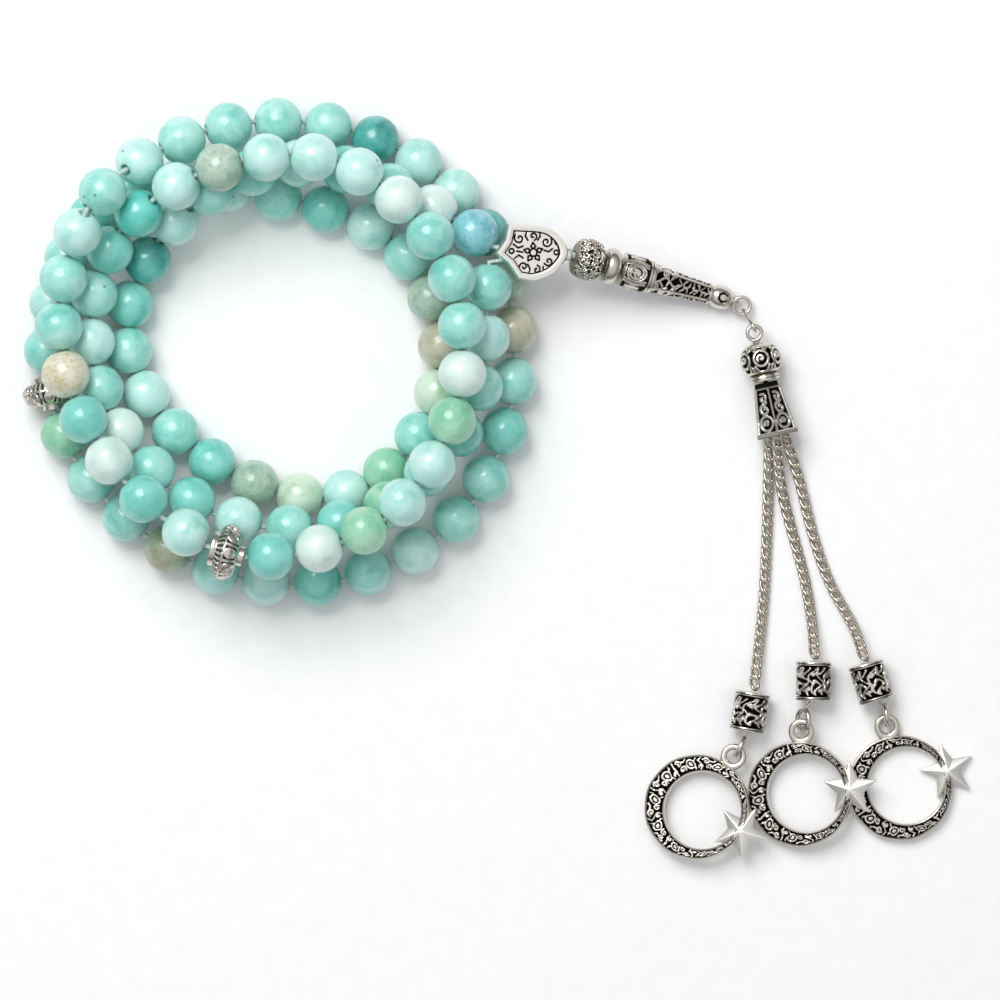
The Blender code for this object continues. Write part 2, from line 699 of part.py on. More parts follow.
def eye_pin(frame, parent):
    """The pin that holds ball and bell together; the chains hang on its lower eye."""
    ball, _, start, mouth = cap_lengths()
    eye = mouth - CHAIN_START_DEPTH - CHAIN_DIAMETER - 0.9 * MM
    top = ball + CAP_BALL_LENGTH / 2 + FIT_GAP
    bm = rod([Vector((top, 0, 0)), Vector((eye - 0.5 * MM, 0, 0))], PIN_DIAMETER, 8)
    thing = add_piece("eye_pin", bm, frame, SILVER, parent)
    join(thing, hoop(0.75 * MM, 0.5 * MM, 12), Matrix.Translation((eye, 0, 0)))
    return thing


# ---------------------------------------------------------------- chains and charms

def chain_curve(side, cap):
    """The chain's whole line, from inside the bell to just short of its cylinder bead."""
    mouth = cap @ Vector((cap_lengths()[3], 0, 0))
    across, up = CHAIN_STARTS[side]
    start = cap @ Vector((cap_lengths()[3] - CHAIN_START_DEPTH, across * CHAIN_DIAMETER, up * CHAIN_DIAMETER))
    cylinder = cylinder_frame(side, cap)
    end = cylinder @ Vector((-FIT_GAP - CHAIN_JOINT_GAP, 0, 0))
    middle = [Vector((mouth.x + x * MM, mouth.y + y * MM, z * MM)) for x, y, z in CHAIN_ROUTES[side]]
    return smooth_route([start] + middle + [end])


def cylinder_frame(side, cap):
    """The top end of the cylinder bead, which lies on the surface."""
    mouth = cap @ Vector((cap_lengths()[3], 0, 0))
    x, y = CHAIN_ENDS[side]
    height = CYLINDER_DIAMETER / 2 + FLOOR_GAP
    return frame_at(Vector((mouth.x + x * MM, mouth.y + y * MM, height)), CYLINDER_YAWS[side])


def chain_marks(total):
    """Start and end distance of each segment, with the joint gaps left out."""
    length = (total[-1] - (CHAIN_SEGMENTS - 1) * CHAIN_JOINT_GAP) / CHAIN_SEGMENTS
    return [(k * (length + CHAIN_JOINT_GAP), k * (length + CHAIN_JOINT_GAP) + length)
            for k in range(CHAIN_SEGMENTS)]


def chain_pivots(side, cap):
    """The swing joint at the head of each segment."""
    curve = chain_curve(side, cap)
    total = distances(curve)
    pivots = []
    for start, _ in chain_marks(total):
        pivots.append(point_at(curve, total, max(start - CHAIN_JOINT_GAP / 2, 0.0)))
    return pivots


def chain_segment(name, curve, total, span, parent):
    """A stretch of chain as the plain bar that its links fill."""
    steps = 4
    places = [span[0] + (span[1] - span[0]) * k / steps for k in range(steps + 1)]
    points = [point_at(curve, total, place) for place in places]
    home = Matrix.Translation(points[0])
    local = [point - points[0] for point in points]
    return add_piece(name, rod(local, CHAIN_DIAMETER, CHAIN_SIDES), home, SILVER, parent)


def charm_frame(side, cap):
    """The charm's loop: origin under its middle, +X towards the crescent, tilted about X."""
    eye = eye_frame(side, cap)
    place = eye @ Vector((EYE_REACHES[side], 0, 0))
    tilt = math.radians(CHARM_TILTS[side])
    place.z = FLOOR_GAP + CHARM_DIAMETER / 2 * math.sin(tilt)
    return frame_at(place, CHARM_YAWS[side], 0, CHARM_TILTS[side])


def eye_height(side):
    """The eye ring's middle is level with the charm's loop where the surface lets it."""
    tilt = math.radians(CHARM_TILTS[side])
    loop = CHARM_DIAMETER / 2 * math.sin(tilt) + CHARM_LOOP_HEIGHT
    lowest = EYE_RADIUS * math.sin(math.radians(EYE_ROLLS[side])) + EYE_WIRE_DIAMETER / 2
    return max(loop, lowest) + FLOOR_GAP


def eye_frame(side, cap):
    """The middle of the eye ring below the cylinder bead."""
    bottom = cylinder_frame(side, cap) @ Vector((CYLINDER_LENGTH, 0, 0))
    place = bottom + heading(SHANK_YAWS[side]) * EYE_DROPS[side]
    place.z = eye_height(side)
    return frame_at(place, EYE_YAWS[side])


def cylinder_bead(name, frame, parent):
    """A short tube bead with a raised rim at each end."""
    radius = CYLINDER_DIAMETER / 2
    length = CYLINDER_LENGTH
    rim = 0.9 * MM
    body = 0.93 * radius
    profile = [(0, 0.8 * radius), (0.15 * MM, radius), (rim, radius), (rim + 0.15 * MM, body),
               (length - rim - 0.15 * MM, body), (length - rim, radius), (length - 0.15 * MM, radius),
               (length, 0.8 * radius)]
    return add_piece(name, turned(profile, 12, CYLINDER_BORE), frame, SILVER, parent)


def eye_wire(side, cap, parent):
    """A headed wire through the cylinder bead, bent into the ring that holds the charm."""
    cylinder, eye = cylinder_frame(side, cap), eye_frame(side, cap)
    ring_start = eye @ Vector((-EYE_RADIUS, 0, 0))
    points = [cylinder @ Vector((FIT_GAP, 0, 0)), cylinder @ Vector((CYLINDER_LENGTH, 0, 0)), ring_start]
    local = [cylinder.inverted() @ p for p in points]
    bm = rod(local, EYE_WIRE_DIAMETER, 8)
    thing = add_piece(f"eye_wire_{side}", bm, cylinder, SILVER, parent)
    place = cylinder.inverted() @ eye @ Matrix.Rotation(math.radians(EYE_ROLLS[side]), 4, "X")
    join(thing, hoop(EYE_RADIUS, EYE_WIRE_DIAMETER), place)
    return thing


def star_outline():
    points = []
    for k in range(10):
        angle = math.radians(STAR_TURN + 36 * k)
        reach = STAR_RADIUS * (1.0 if k % 2 == 0 else STAR_WAIST)
        points.append((reach * math.cos(angle), reach * math.sin(angle)))
    return points


def star():
    """A five-pointed star, flat behind and ridged up to a peak in front."""
    bm = prism(star_outline(), 0.0, STAR_RIM)
    top = max(bm.faces, key=lambda face: face.calc_center_median().z)
    made = bmesh.ops.poke(bm, faces=[top])
    for peak in made["verts"]:
        peak.co = (0, 0, STAR_PEAK)
    return bm


def charm(side, frame, parent):
    """Crescent, star and hanging loop in one casting, flat behind."""
    centre = Vector((CHARM_LOOP_DISTANCE, 0, 0))
    towards = heading(STAR_BEARING)
    sides = 26
    circle = [(centre.x + CHARM_DIAMETER / 2 * math.cos(2 * math.pi * k / sides),
               CHARM_DIAMETER / 2 * math.sin(2 * math.pi * k / sides)) for k in range(sides)]
    thing = add_piece(f"charm_{side}", prism(circle, 0, CHARM_THICKNESS), frame, SILVER, parent, 30)
    hole = centre + towards * CHARM_HOLE_OFFSET
    radius = CHARM_HOLE_DIAMETER / 2
    inner = [(hole.x + radius * math.cos(2 * math.pi * k / sides),
              hole.y + radius * math.sin(2 * math.pi * k / sides)) for k in range(sides)]
    join(thing, prism(inner, -MM, CHARM_THICKNESS + MM), Matrix.Identity(4), "DIFFERENCE")
    join(thing, star(), Matrix.Translation(centre + towards * STAR_DISTANCE))
    join(thing, hoop(CHARM_LOOP_RADIUS, EYE_WIRE_DIAMETER), Matrix.Translation((0, 0, CHARM_LOOP_HEIGHT)))
    return thing


def build_hanger(side, cap, parent):
    """One chain with its cylinder bead, eye wire and charm."""
    curve = chain_curve(side, cap)
    total = distances(curve)
    pivots = chain_pivots(side, cap)
    for k, span in enumerate(chain_marks(total)):
        name = f"chain_{side}_{k + 1}"
        parent = pivot(f"{name}_swing", Matrix.Translation(pivots[k]), parent)
        chain_segment(name, curve, total, span, parent)
    cylinder = cylinder_frame(side, cap)
    swing = Matrix.Translation(cylinder @ Vector((-FIT_GAP, 0, 0)))
    parent = pivot(f"eye_wire_{side}_swing", swing, parent)
    eye_wire(side, cap, parent)
    spin = pivot(f"cylinder_{side}_spin", cylinder, parent)
    cylinder_bead(f"cylinder_{side}", cylinder, spin)
    place = charm_pivot(side, cap)
    parent = pivot(f"charm_{side}_swing", Matrix.Translation(place), parent)
    charm(side, charm_frame(side, cap), parent)


def charm_pivot(side, cap):
    """Where the charm's loop bears on the eye ring."""
    eye, loop = eye_frame(side, cap), charm_frame(side, cap)
    return (eye.translation + loop.translation) / 2


def pendant_frames(joints):
    shield = shield_frame(joints)
    imame = imame_frame(shield)
    ring = ring_frame(lug_frame(imame))
    link = link_frame(ring)
    return shield, imame, ring, link, cap_frame(link)


def main():
    clear_scene()
    joints = settled_joints()
    build_strand(joints)
    shield, imame, ring, link, cap = pendant_frames(joints)
    shield_bead(shield, joints)
    thread(thread_points(joints, shield))
    barrel, rondelle, body, _ = imame_lengths()
    lean = pivot("imame_swing", imame)
    leader_cord(shield)
    leader_core(imame, lean)
    at = imame @ Matrix.Translation((barrel + BARREL_LENGTH / 2, 0, 0))
    barrel_bead(at, pivot("barrel_spin", at, lean))
    at = imame @ Matrix.Translation((rondelle + RONDELLE_LENGTH / 2, 0, 0))
    rondelle_bead(at, pivot("rondelle_spin", at, lean))
    imame_body(imame @ Matrix.Translation((body, 0, 0)), lean)
    ring_home = pivot("jump_ring_swing", ring, lean)
    jump_ring(ring, ring_home)
    link_home = pivot("long_link_swing", link, ring_home)
    long_link(link, link_home)
    cap_home = pivot("cap_swing", cap, link_home)
    cap_ball(cap, cap_home)
    cap_bell(cap, cap_home)
    eye_pin(cap, cap_home)
    for side in CHAIN_STARTS:
        build_hanger(side, cap, cap_home)


main()
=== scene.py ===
"""Looks of the misbaha: amazonite beads, antique silver leader, chains and crescent charms.

Everything is in metres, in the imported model's own frame.
"""
import json
import math

import bpy
import numpy as np
from mathutils import Matrix, Vector, noise

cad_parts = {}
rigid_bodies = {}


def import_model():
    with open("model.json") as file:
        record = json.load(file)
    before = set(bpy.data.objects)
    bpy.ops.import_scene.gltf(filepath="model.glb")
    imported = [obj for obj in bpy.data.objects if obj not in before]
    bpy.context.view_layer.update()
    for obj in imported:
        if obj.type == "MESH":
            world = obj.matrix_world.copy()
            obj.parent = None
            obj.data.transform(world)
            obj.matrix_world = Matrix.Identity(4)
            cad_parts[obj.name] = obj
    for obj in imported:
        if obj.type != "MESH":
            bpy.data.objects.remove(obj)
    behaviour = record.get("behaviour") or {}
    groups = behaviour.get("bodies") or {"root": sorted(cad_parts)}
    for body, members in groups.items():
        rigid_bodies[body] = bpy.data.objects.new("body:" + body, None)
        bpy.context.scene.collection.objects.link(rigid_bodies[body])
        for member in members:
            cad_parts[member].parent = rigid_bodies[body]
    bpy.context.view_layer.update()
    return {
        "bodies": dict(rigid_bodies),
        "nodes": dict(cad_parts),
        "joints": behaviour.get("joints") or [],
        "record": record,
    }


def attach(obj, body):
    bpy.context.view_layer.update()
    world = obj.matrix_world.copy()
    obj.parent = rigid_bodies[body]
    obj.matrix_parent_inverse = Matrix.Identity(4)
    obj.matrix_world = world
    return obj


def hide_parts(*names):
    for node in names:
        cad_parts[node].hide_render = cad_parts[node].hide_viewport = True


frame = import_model()

MM = 0.001

# ---------------------------------------------------------------- sizes shared with the CAD

# Where the coil's centre lies, measured from the middle of the whole object.
COIL_CENTRE = (-35.8 * MM, 20.9 * MM)
FIT_GAP = 0.3 * MM
FLOOR_GAP = 0.05 * MM

# Stone beads and the thread through them.
BEAD_DIAMETER = 8.0 * MM
BEAD_BORE = 2.0 * MM
BEAD_GAP = BEAD_DIAMETER / 160
BEAD_PLAY = BEAD_DIAMETER / 32
BEADS_PER_THIRD = 33
BEADS_PER_RUN = 5
THREAD_DIAMETER = 0.8 * MM

# The two dividers between the thirds.
DIVIDER_DIAMETER = 9.5 * MM
DIVIDER_LENGTH = 5.6 * MM

# Every third joint between neighbours on the strand, in millimetres from the coil's centre,
# with the height at which the strand is laid down there. Heights settle upwards from these.
STRAND_ROUTE = [
    (33.4, 14.9, 11.5), (30.8, -9.5, 9.5), (13.0, -27.0, 9.0), (-12.0, -26.0, 9.0),
    (-29.5, -8.5, 9.0), (-30.0, 15.0, 9.0), (-13.5, 29.0, 14.0), (9.5, 31.0, 16.5),
    (26.5, 15.0, 17.5), (28.5, -8.5, 17.0), (16.0, -27.5, 16.5), (-7.5, -33.0, 15.0),
    (-27.0, -19.5, 14.5), (-36.7, 2.0, 15.0), (-30.7, 24.5, 14.0), (-11.5, 37.0, 7.5),
    (13.0, 36.2, 4.0), (32.0, 22.0, 4.0), (37.7, -2.5, 4.0), (29.5, -26.0, 4.0),
    (7.0, -37.5, 4.0), (-18.0, -33.0, 4.0), (-36.0, -14.5, 4.0), (-38.5, 8.0, 4.0),
    (-27.0, 27.0, 4.0), (-2.0, 26.0, 4.0), (20.0, 17.0, 4.0), (25.5, -6.0, 4.0),
    (10.0, -23.5, 4.0), (-13.5, -17.0, 4.0), (-26.5, 2.0, 4.0), (-18.0, 22.0, 5.0),
    (2.5, 31.5, 10.0), (22.7, 24.7, 10.0), (34.2, 17.4, 11.5),
]
ROUTE_STEPS = 40
SHOVES = 300
SETTLING_PASSES = 60

# Beads that are single nodes, free to turn on the thread; the rest are joined in runs.
LOOSE_BEADS = (2, 19, 30, 40, 56, 97)

# Leader: shield bead, barrel, rondelle, long body.
SHIELD_THICKNESS = 4.4 * MM
SHIELD_TIP_OFFSET = Vector((0.3, 0.2, 0.0)) * MM
SHIELD_YAW = -1.0
SHIELD_PITCH = -12.0
SHIELD_OUTLINE = [
    (0.0, 0.0), (2.2, -1.7), (3.9, -4.2), (6.6, -4.4), (9.8, -3.1), (12.0, -0.7),
    (12.2, 1.0), (11.0, 3.1), (8.2, 4.6), (2.0, 4.9), (1.5, 2.2),
]
NECK_LENGTH = 0.8 * MM
NECK_DIAMETER = 2.8 * MM
NECK_GAP = 0.7 * MM
CORD_BORE = 1.8 * MM
IMAME_YAW = -15.2
BARREL_LENGTH = 4.9 * MM
BARREL_DIAMETER = 7.0 * MM
RONDELLE_LENGTH = 2.8 * MM
RONDELLE_DIAMETER = 6.1 * MM
DRUM_LENGTH = 4.6 * MM
DRUM_DIAMETER = 5.8 * MM
BAND_LENGTH = 0.9 * MM
BAND_DIAMETER = 5.5 * MM
SHAFT_LENGTH = 10.7 * MM
SHAFT_DIAMETERS = (5.1 * MM, 3.4 * MM)
KNOB_DIAMETER = 4.0 * MM
LUG_RADIUS = 0.85 * MM
WIRE_DIAMETER = 0.56 * MM

# Jump ring, long link and tassel cap.
RING_RADIUS = 1.45 * MM
RING_YAW = -31.7
LINK_LENGTH = 5.0 * MM
LINK_WIDTH = 1.9 * MM
LINK_YAW = -62.7
CAP_YAW = -77.3
CAP_EYE_RADIUS = 1.1 * MM
CAP_BALL_DIAMETER = 6.8 * MM
CAP_BALL_LENGTH = 5.6 * MM
CAP_STEM = 0.5 * MM
FLANGE_DIAMETER = 5.1 * MM
BELL_NECK_DIAMETER = 4.6 * MM
BELL_LENGTH = 9.2 * MM
BELL_MOUTH_DIAMETER = 8.0 * MM

# Chains: sideways and upward place of each start in the bell, in chain diameters, then a
# route in millimetres from the middle of the bell's mouth.
CHAIN_DIAMETER = 1.8 * MM
CHAIN_SEGMENTS = 3
CHAIN_JOINT_GAP = 0.5 * MM
CHAIN_START_DEPTH = 1.6 * MM
CHAIN_STARTS = {"left": (-0.61, -0.28), "middle": (0.0, 0.67), "right": (0.61, -0.28)}
CHAIN_ROUTES = {
    "left": [(-1.5, -7.5, 1.2), (-1.7, -16.0, 0.85), (-2.2, -26.5, 0.85), (-3.2, -36.5, 1.4)],
    "middle": [(0.5, -7.5, 2.2), (2.1, -14.5, 0.95), (4.5, -23.5, 0.85), (5.9, -32.0, 1.5)],
    "right": [(3.6, -7.0, 1.4), (6.0, -16.5, 0.85), (8.8, -24.5, 0.85), (12.8, -32.0, 1.5)],
}
CHAIN_ENDS = {"left": (-4.1, -42.8), "middle": (6.1, -37.6), "right": (14.7, -37.9)}

# Cylinder beads, eye wires and crescent charms on the chains' ends.
CYLINDER_LENGTH = 6.6 * MM
CYLINDER_DIAMETER = 6.1 * MM
CYLINDER_BORE = 1.6 * MM
CYLINDER_YAWS = {"left": -99.5, "middle": -91.0, "right": -73.5}
SHANK_YAWS = {"left": -113.0, "middle": -118.0, "right": -56.0}
EYE_YAWS = {"left": -117.0, "middle": -93.0, "right": -84.0}
EYE_ROLLS = {"left": 90.0, "middle": 58.0, "right": 90.0}
EYE_RADIUS = 1.65 * MM
EYE_WIRE_DIAMETER = 0.66 * MM
EYE_DROPS = {"left": 2.8 * MM, "middle": 3.6 * MM, "right": 2.9 * MM}
EYE_REACHES = {"left": 2.0 * MM, "middle": 2.0 * MM, "right": 2.0 * MM}
CHARM_YAWS = {"left": -126.0, "middle": -91.5, "right": -78.0}
CHARM_TILTS = {"left": 9.5, "middle": 9.0, "right": 0.0}
CHARM_DIAMETER = 17.6 * MM
CHARM_HOLE_DIAMETER = 12.8 * MM
CHARM_HOLE_OFFSET = 1.15 * MM
CHARM_THICKNESS = 1.8 * MM
CHARM_LOOP_RADIUS = 1.65 * MM
CHARM_LOOP_HEIGHT = 1.25 * MM
CHARM_LOOP_DISTANCE = CHARM_DIAMETER / 2 + CHARM_LOOP_RADIUS
STAR_BEARING = 97.0
STAR_DISTANCE = 8.45 * MM
STAR_RADIUS = 4.6 * MM
STAR_WAIST = 0.42
STAR_TURN = 57.0
STAR_PEAK = 2.5 * MM
STAR_RIM = 1.1 * MM

# What is drawn a little stouter or flatter than the CAD, as shares of it or as added wire.
DRAWN_STAR_REACH = 1.03
DRAWN_STAR_WAIST = 1.14
DRAWN_STAR_PEAK = 0.82
DRAWN_LINK_WIRE = WIRE_DIAMETER + 0.08 * MM
DRAWN_CAP_EYE_WIRE = WIRE_DIAMETER + 0.16 * MM
DRAWN_EYE_WIRE = EYE_WIRE_DIAMETER + 0.20 * MM


def frame_at(place, yaw=0.0, pitch=0.0, roll=0.0):
    """A frame whose +X points along the yaw and pitch, turned by roll about itself (degrees)."""
    turn = Matrix.Rotation(math.radians(yaw), 4, "Z")
    turn @= Matrix.Rotation(math.radians(-pitch), 4, "Y")
    turn @= Matrix.Rotation(math.radians(roll), 4, "X")
    return Matrix.Translation(place) @ turn


def heading(yaw):
    return Vector((math.cos(math.radians(yaw)), math.sin(math.radians(yaw)), 0))


def frame_along(place, direction):
    yaw = math.degrees(math.atan2(direction.y, direction.x))
    pitch = math.degrees(math.asin(direction.z / direction.length))
    return frame_at(place, yaw, pitch)


# ---------------------------------------------------------------- how the strand lies

def smooth_route(points):
    """A smooth curve through the points (Catmull-Rom), with ROUTE_STEPS steps to each span."""
    points = [Vector(p) for p in points]
    ends = [2 * points[0] - points[1]] + points + [2 * points[-1] - points[-2]]
    curve = []
    for a, b, c, d in zip(ends, ends[1:], ends[2:], ends[3:]):
        for step in range(ROUTE_STEPS):
            t = step / ROUTE_STEPS
            curve.append(0.5 * (2 * b + (c - a) * t + (2 * a - 5 * b + 4 * c - d) * t * t
                                + (3 * b - a - 3 * c + d) * t ** 3))
    curve.append(points[-1])
    return curve


def distances(curve):
    total = [0.0]
    for a, b in zip(curve, curve[1:]):
        total.append(total[-1] + (b - a).length)
    return total


def point_at(curve, total, distance):
    low, high = 0, len(total) - 1
    while high - low > 1:
        middle = (low + high) // 2
        if total[middle] <= distance:
            low = middle
        else:
            high = middle
    share = (distance - total[low]) / (total[high] - total[low])
    return curve[low].lerp(curve[high], share)


def strand_items():
    third = ["bead"] * BEADS_PER_THIRD
    return third + ["divider"] + third + ["divider"] + third


def item_length(item):
    return BEAD_DIAMETER if item == "bead" else DIVIDER_LENGTH


def item_radius(item):
    return (BEAD_DIAMETER if item == "bead" else DIVIDER_DIAMETER) / 2


def strand_joints():
    """The points between neighbours on the thread, before they settle on each other."""
    items = strand_items()
    curve = smooth_route(STRAND_ROUTE)
    drawn = distances(curve)
    wanted = sum(item_length(item) + BEAD_PLAY for item in items)
    curve = [p * (wanted / drawn[-1]) for p in curve]
    total = distances(curve)
    marks = []
    for span, first in enumerate(range(0, len(items), 3)):
        inside = [item_length(item) for item in items[first:first + 3]]
        start, end = total[span * ROUTE_STEPS], total[(span + 1) * ROUTE_STEPS]
        for k in range(len(inside)):
            marks.append(start + (end - start) * sum(inside[:k]) / sum(inside))
    marks.append(total[-1])
    for _ in range(SHOVES):
        for k, item in enumerate(items):
            short = item_length(item) + BEAD_GAP - (marks[k + 1] - marks[k])
            if short > 0:
                marks[k] -= short / 2
                marks[k + 1] += short / 2
    over = max(marks[-1] - total[-1], 0.0)
    under = max(-marks[0], 0.0)
    share = total[-1] / (total[-1] + over + under)
    return [point_at(curve, total, (m + under) * share) for m in marks]


def settled_joints():
    """Lift each bead that lies in another turn until it rests on it, or on the surface."""
    joints = strand_joints()
    radii = [item_radius(item) for item in strand_items()]
    count = len(radii)
    for _ in range(SETTLING_PASSES):
        centres = [(a + b) / 2 for a, b in zip(joints, joints[1:])]
        lifts = [max(r - c.z, 0.0) for r, c in zip(radii, centres)]
        for i in range(count):
            for j in range(count):
                if abs(i - j) < 2 or (centres[i].z, -i) <= (centres[j].z, -j):
                    continue
                reach = radii[i] + radii[j] + 2 * BEAD_GAP
                flat = (centres[i] - centres[j]).xy.length
                if flat < reach:
                    needed = centres[j].z + math.sqrt(reach ** 2 - flat ** 2)
                    lifts[i] = max(lifts[i], needed - centres[i].z)
        for i, lift in enumerate(lifts):
            joints[i].z += lift / 2
            joints[i + 1].z += lift / 2
    home = Vector((*COIL_CENTRE, 0.0))
    return [joint + home for joint in joints]


# ---------------------------------------------------------------- where the metal lies

def shield_frame(joints):
    tip = (joints[0] + joints[-1]) / 2 + SHIELD_TIP_OFFSET
    return frame_at(tip, SHIELD_YAW, SHIELD_PITCH)


def shield_meeting(shield):
    """Where the two thread ends meet the leader's cord, inside the shield bead."""
    return shield @ Vector((4.2 * MM, 0.0, 0.0))


def shield_length():
    return max(x for x, _ in SHIELD_OUTLINE) * MM


def imame_lengths():
    """Where each piece starts along the leader, measured from the swing joint."""
    barrel = NECK_GAP / 2
    rondelle = barrel + BARREL_LENGTH + FIT_GAP
    body = rondelle + RONDELLE_LENGTH + FIT_GAP
    knob = body + DRUM_LENGTH + BAND_LENGTH + SHAFT_LENGTH + KNOB_DIAMETER / 2
    return barrel, rondelle, body, knob


def imame_frame(shield):
    """The swing joint's frame: the leader leans from the shield down to the surface."""
    start = shield @ Vector((shield_length() + NECK_LENGTH + NECK_GAP / 2, 0, 0))
    knob = imame_lengths()[3]
    drop = start.z - KNOB_DIAMETER / 2 - 3 * FLOOR_GAP
    return frame_at(start, IMAME_YAW, -math.degrees(math.asin(drop / knob)))


def lug_frame(imame):
    """The middle of the wire lug on the knob."""
    reach = imame_lengths()[3] + KNOB_DIAMETER / 2 + LUG_RADIUS / 2
    return imame @ Matrix.Translation((reach, 0, 0))


def ring_frame(lug):
    """A flat ring hanging in the lug; its frame's origin is the swing joint, on the wire."""
    slack = LUG_RADIUS - WIRE_DIAMETER - FIT_GAP / 3
    place = lug.translation + heading(RING_YAW) * slack / 2
    return frame_at(place, RING_YAW)


def cap_axis_height():
    return max(CAP_BALL_DIAMETER, BELL_MOUTH_DIAMETER) / 2 + FLOOR_GAP


def link_inset():
    """How far inside each end of the long link the next ring's wire crosses it."""
    return WIRE_DIAMETER + FIT_GAP / 2


def link_frame(ring):
    """An upright oval through the ring, rising to the cap's eye."""
    centre = ring @ Vector((RING_RADIUS, 0, 0))
    crossing = centre + heading(LINK_YAW) * RING_RADIUS
    rise = math.asin((cap_axis_height() - crossing.z) / (LINK_LENGTH - 2 * link_inset()))
    link = frame_at(crossing, LINK_YAW, math.degrees(rise))
    return link @ Matrix.Translation((-link_inset(), 0, 0))


def cap_frame(link):
    """The cap's eye: the origin is the eye's middle, the axis lies level."""
    crossing = link @ Vector((LINK_LENGTH - link_inset(), 0, 0))
    return frame_at(crossing + heading(CAP_YAW) * CAP_EYE_RADIUS, CAP_YAW)


def cap_lengths():
    """Along the cap from the eye's middle: ball start, flange, bell start, mouth."""
    ball = CAP_EYE_RADIUS + WIRE_DIAMETER / 2 + CAP_STEM
    flange = ball + CAP_BALL_LENGTH
    bell = flange + 0.7 * MM + FIT_GAP
    return ball, flange, bell, bell + BELL_LENGTH


def chain_curve(side, cap):
    """The chain's whole line, from inside the bell to just short of its cylinder bead."""
    mouth = cap @ Vector((cap_lengths()[3], 0, 0))
    across, up = CHAIN_STARTS[side]
    start = cap @ Vector((cap_lengths()[3] - CHAIN_START_DEPTH, across * CHAIN_DIAMETER, up * CHAIN_DIAMETER))
    cylinder = cylinder_frame(side, cap)
    end = cylinder @ Vector((-FIT_GAP - CHAIN_JOINT_GAP, 0, 0))
    middle = [Vector((mouth.x + x * MM, mouth.y + y * MM, z * MM)) for x, y, z in CHAIN_ROUTES[side]]
    return smooth_route([start] + middle + [end])


def cylinder_frame(side, cap):
    """The top end of the cylinder bead, which lies on the surface."""
    mouth = cap @ Vector((cap_lengths()[3], 0, 0))
    x, y = CHAIN_ENDS[side]
    height = CYLINDER_DIAMETER / 2 + FLOOR_GAP
    return frame_at(Vector((mouth.x + x * MM, mouth.y + y * MM, height)), CYLINDER_YAWS[side])


def chain_marks(total):
    """Start and end distance of each segment, with the joint gaps left out."""
    length = (total[-1] - (CHAIN_SEGMENTS - 1) * CHAIN_JOINT_GAP) / CHAIN_SEGMENTS
    return [(k * (length + CHAIN_JOINT_GAP), k * (length + CHAIN_JOINT_GAP) + length)
            for k in range(CHAIN_SEGMENTS)]


def charm_frame(side, cap):
    """The charm's loop: origin under its middle, +X towards the crescent, tilted about X."""
    eye = eye_frame(side, cap)
    place = eye @ Vector((EYE_REACHES[side], 0, 0))
    tilt = math.radians(CHARM_TILTS[side])
    place.z = FLOOR_GAP + CHARM_DIAMETER / 2 * math.sin(tilt)
    return frame_at(place, CHARM_YAWS[side], 0, CHARM_TILTS[side])


def eye_height(side):
    """The eye ring's middle is level with the charm's loop where the surface lets it."""
    tilt = math.radians(CHARM_TILTS[side])
    loop = CHARM_DIAMETER / 2 * math.sin(tilt) + CHARM_LOOP_HEIGHT
    lowest = EYE_RADIUS * math.sin(math.radians(EYE_ROLLS[side])) + EYE_WIRE_DIAMETER / 2
    return max(loop, lowest) + FLOOR_GAP


def eye_frame(side, cap):
    """The middle of the eye ring below the cylinder bead."""
    bottom = cylinder_frame(side, cap) @ Vector((CYLINDER_LENGTH, 0, 0))
    place = bottom + heading(SHANK_YAWS[side]) * EYE_DROPS[side]
    place.z = eye_height(side)
    return frame_at(place, EYE_YAWS[side])


def pendant_frames(joints):
    shield = shield_frame(joints)
    imame = imame_frame(shield)
    ring = ring_frame(lug_frame(imame))
    link = link_frame(ring)
    return shield, imame, ring, link, cap_frame(link)


# ---------------------------------------------------------------- making pieces

# One letter per bead, in strand order: which tone of the stone it was cut from.
BEAD_TONES = (
    "aqatagtaqtapaqatT" "qsqqqpaaapgqqgpt"
    "qtptnaaqaqaaaadqq" "dsbataaqatqaoaag"
    "aqata" "aqatqasbmagqmstaqatd" "qaaqtapl"
)
STONE_TONES = {
    "a": ("aqua", "#90d5ca", "#62b9b1", "#c9efe9"),
    "q": ("pale_aqua", "#b3e2da", "#86cabf", "#dcf3ef"),
    "p": ("palest", "#cfe6df", "#a9d0c6", "#eef6f3"),
    "t": ("turquoise", "#78cac0", "#4eaaa1", "#9fe0d6"),
    "T": ("deep_turquoise", "#56c1b5", "#319c92", "#86dccf"),
    "d": ("teal", "#4aa79f", "#2a7a76", "#83cbc2"),
    "g": ("green_mint", "#8ccbaa", "#5fa985", "#c2e4cd"),
    "s": ("sage", "#a5c0ae", "#7c9c86", "#cfdccf"),
    "n": ("sand", "#d3d0b8", "#b89c6c", "#e9e4d2"),
    "b": ("beige_grey", "#bdbaa4", "#96937a", "#d9d6c6"),
    "o": ("olive", "#a3b49a", "#a38a6c", "#c8d2b9"),
    "m": ("cream_mint", "#c6dcc6", "#9dbd9f", "#e6efe0"),
    "l": ("lilac_blue", "#7fc3cb", "#4f98a8", "#b9dbe6"),
}


def linear(hex_colour):
    """An sRGB hex colour as the linear RGBA that a shader takes."""
    parts = [int(hex_colour[i:i + 2], 16) / 255 for i in (1, 3, 5)]
    return (*[p / 12.92 if p <= 0.04045 else ((p + 0.055) / 1.055) ** 2.4 for p in parts], 1.0)


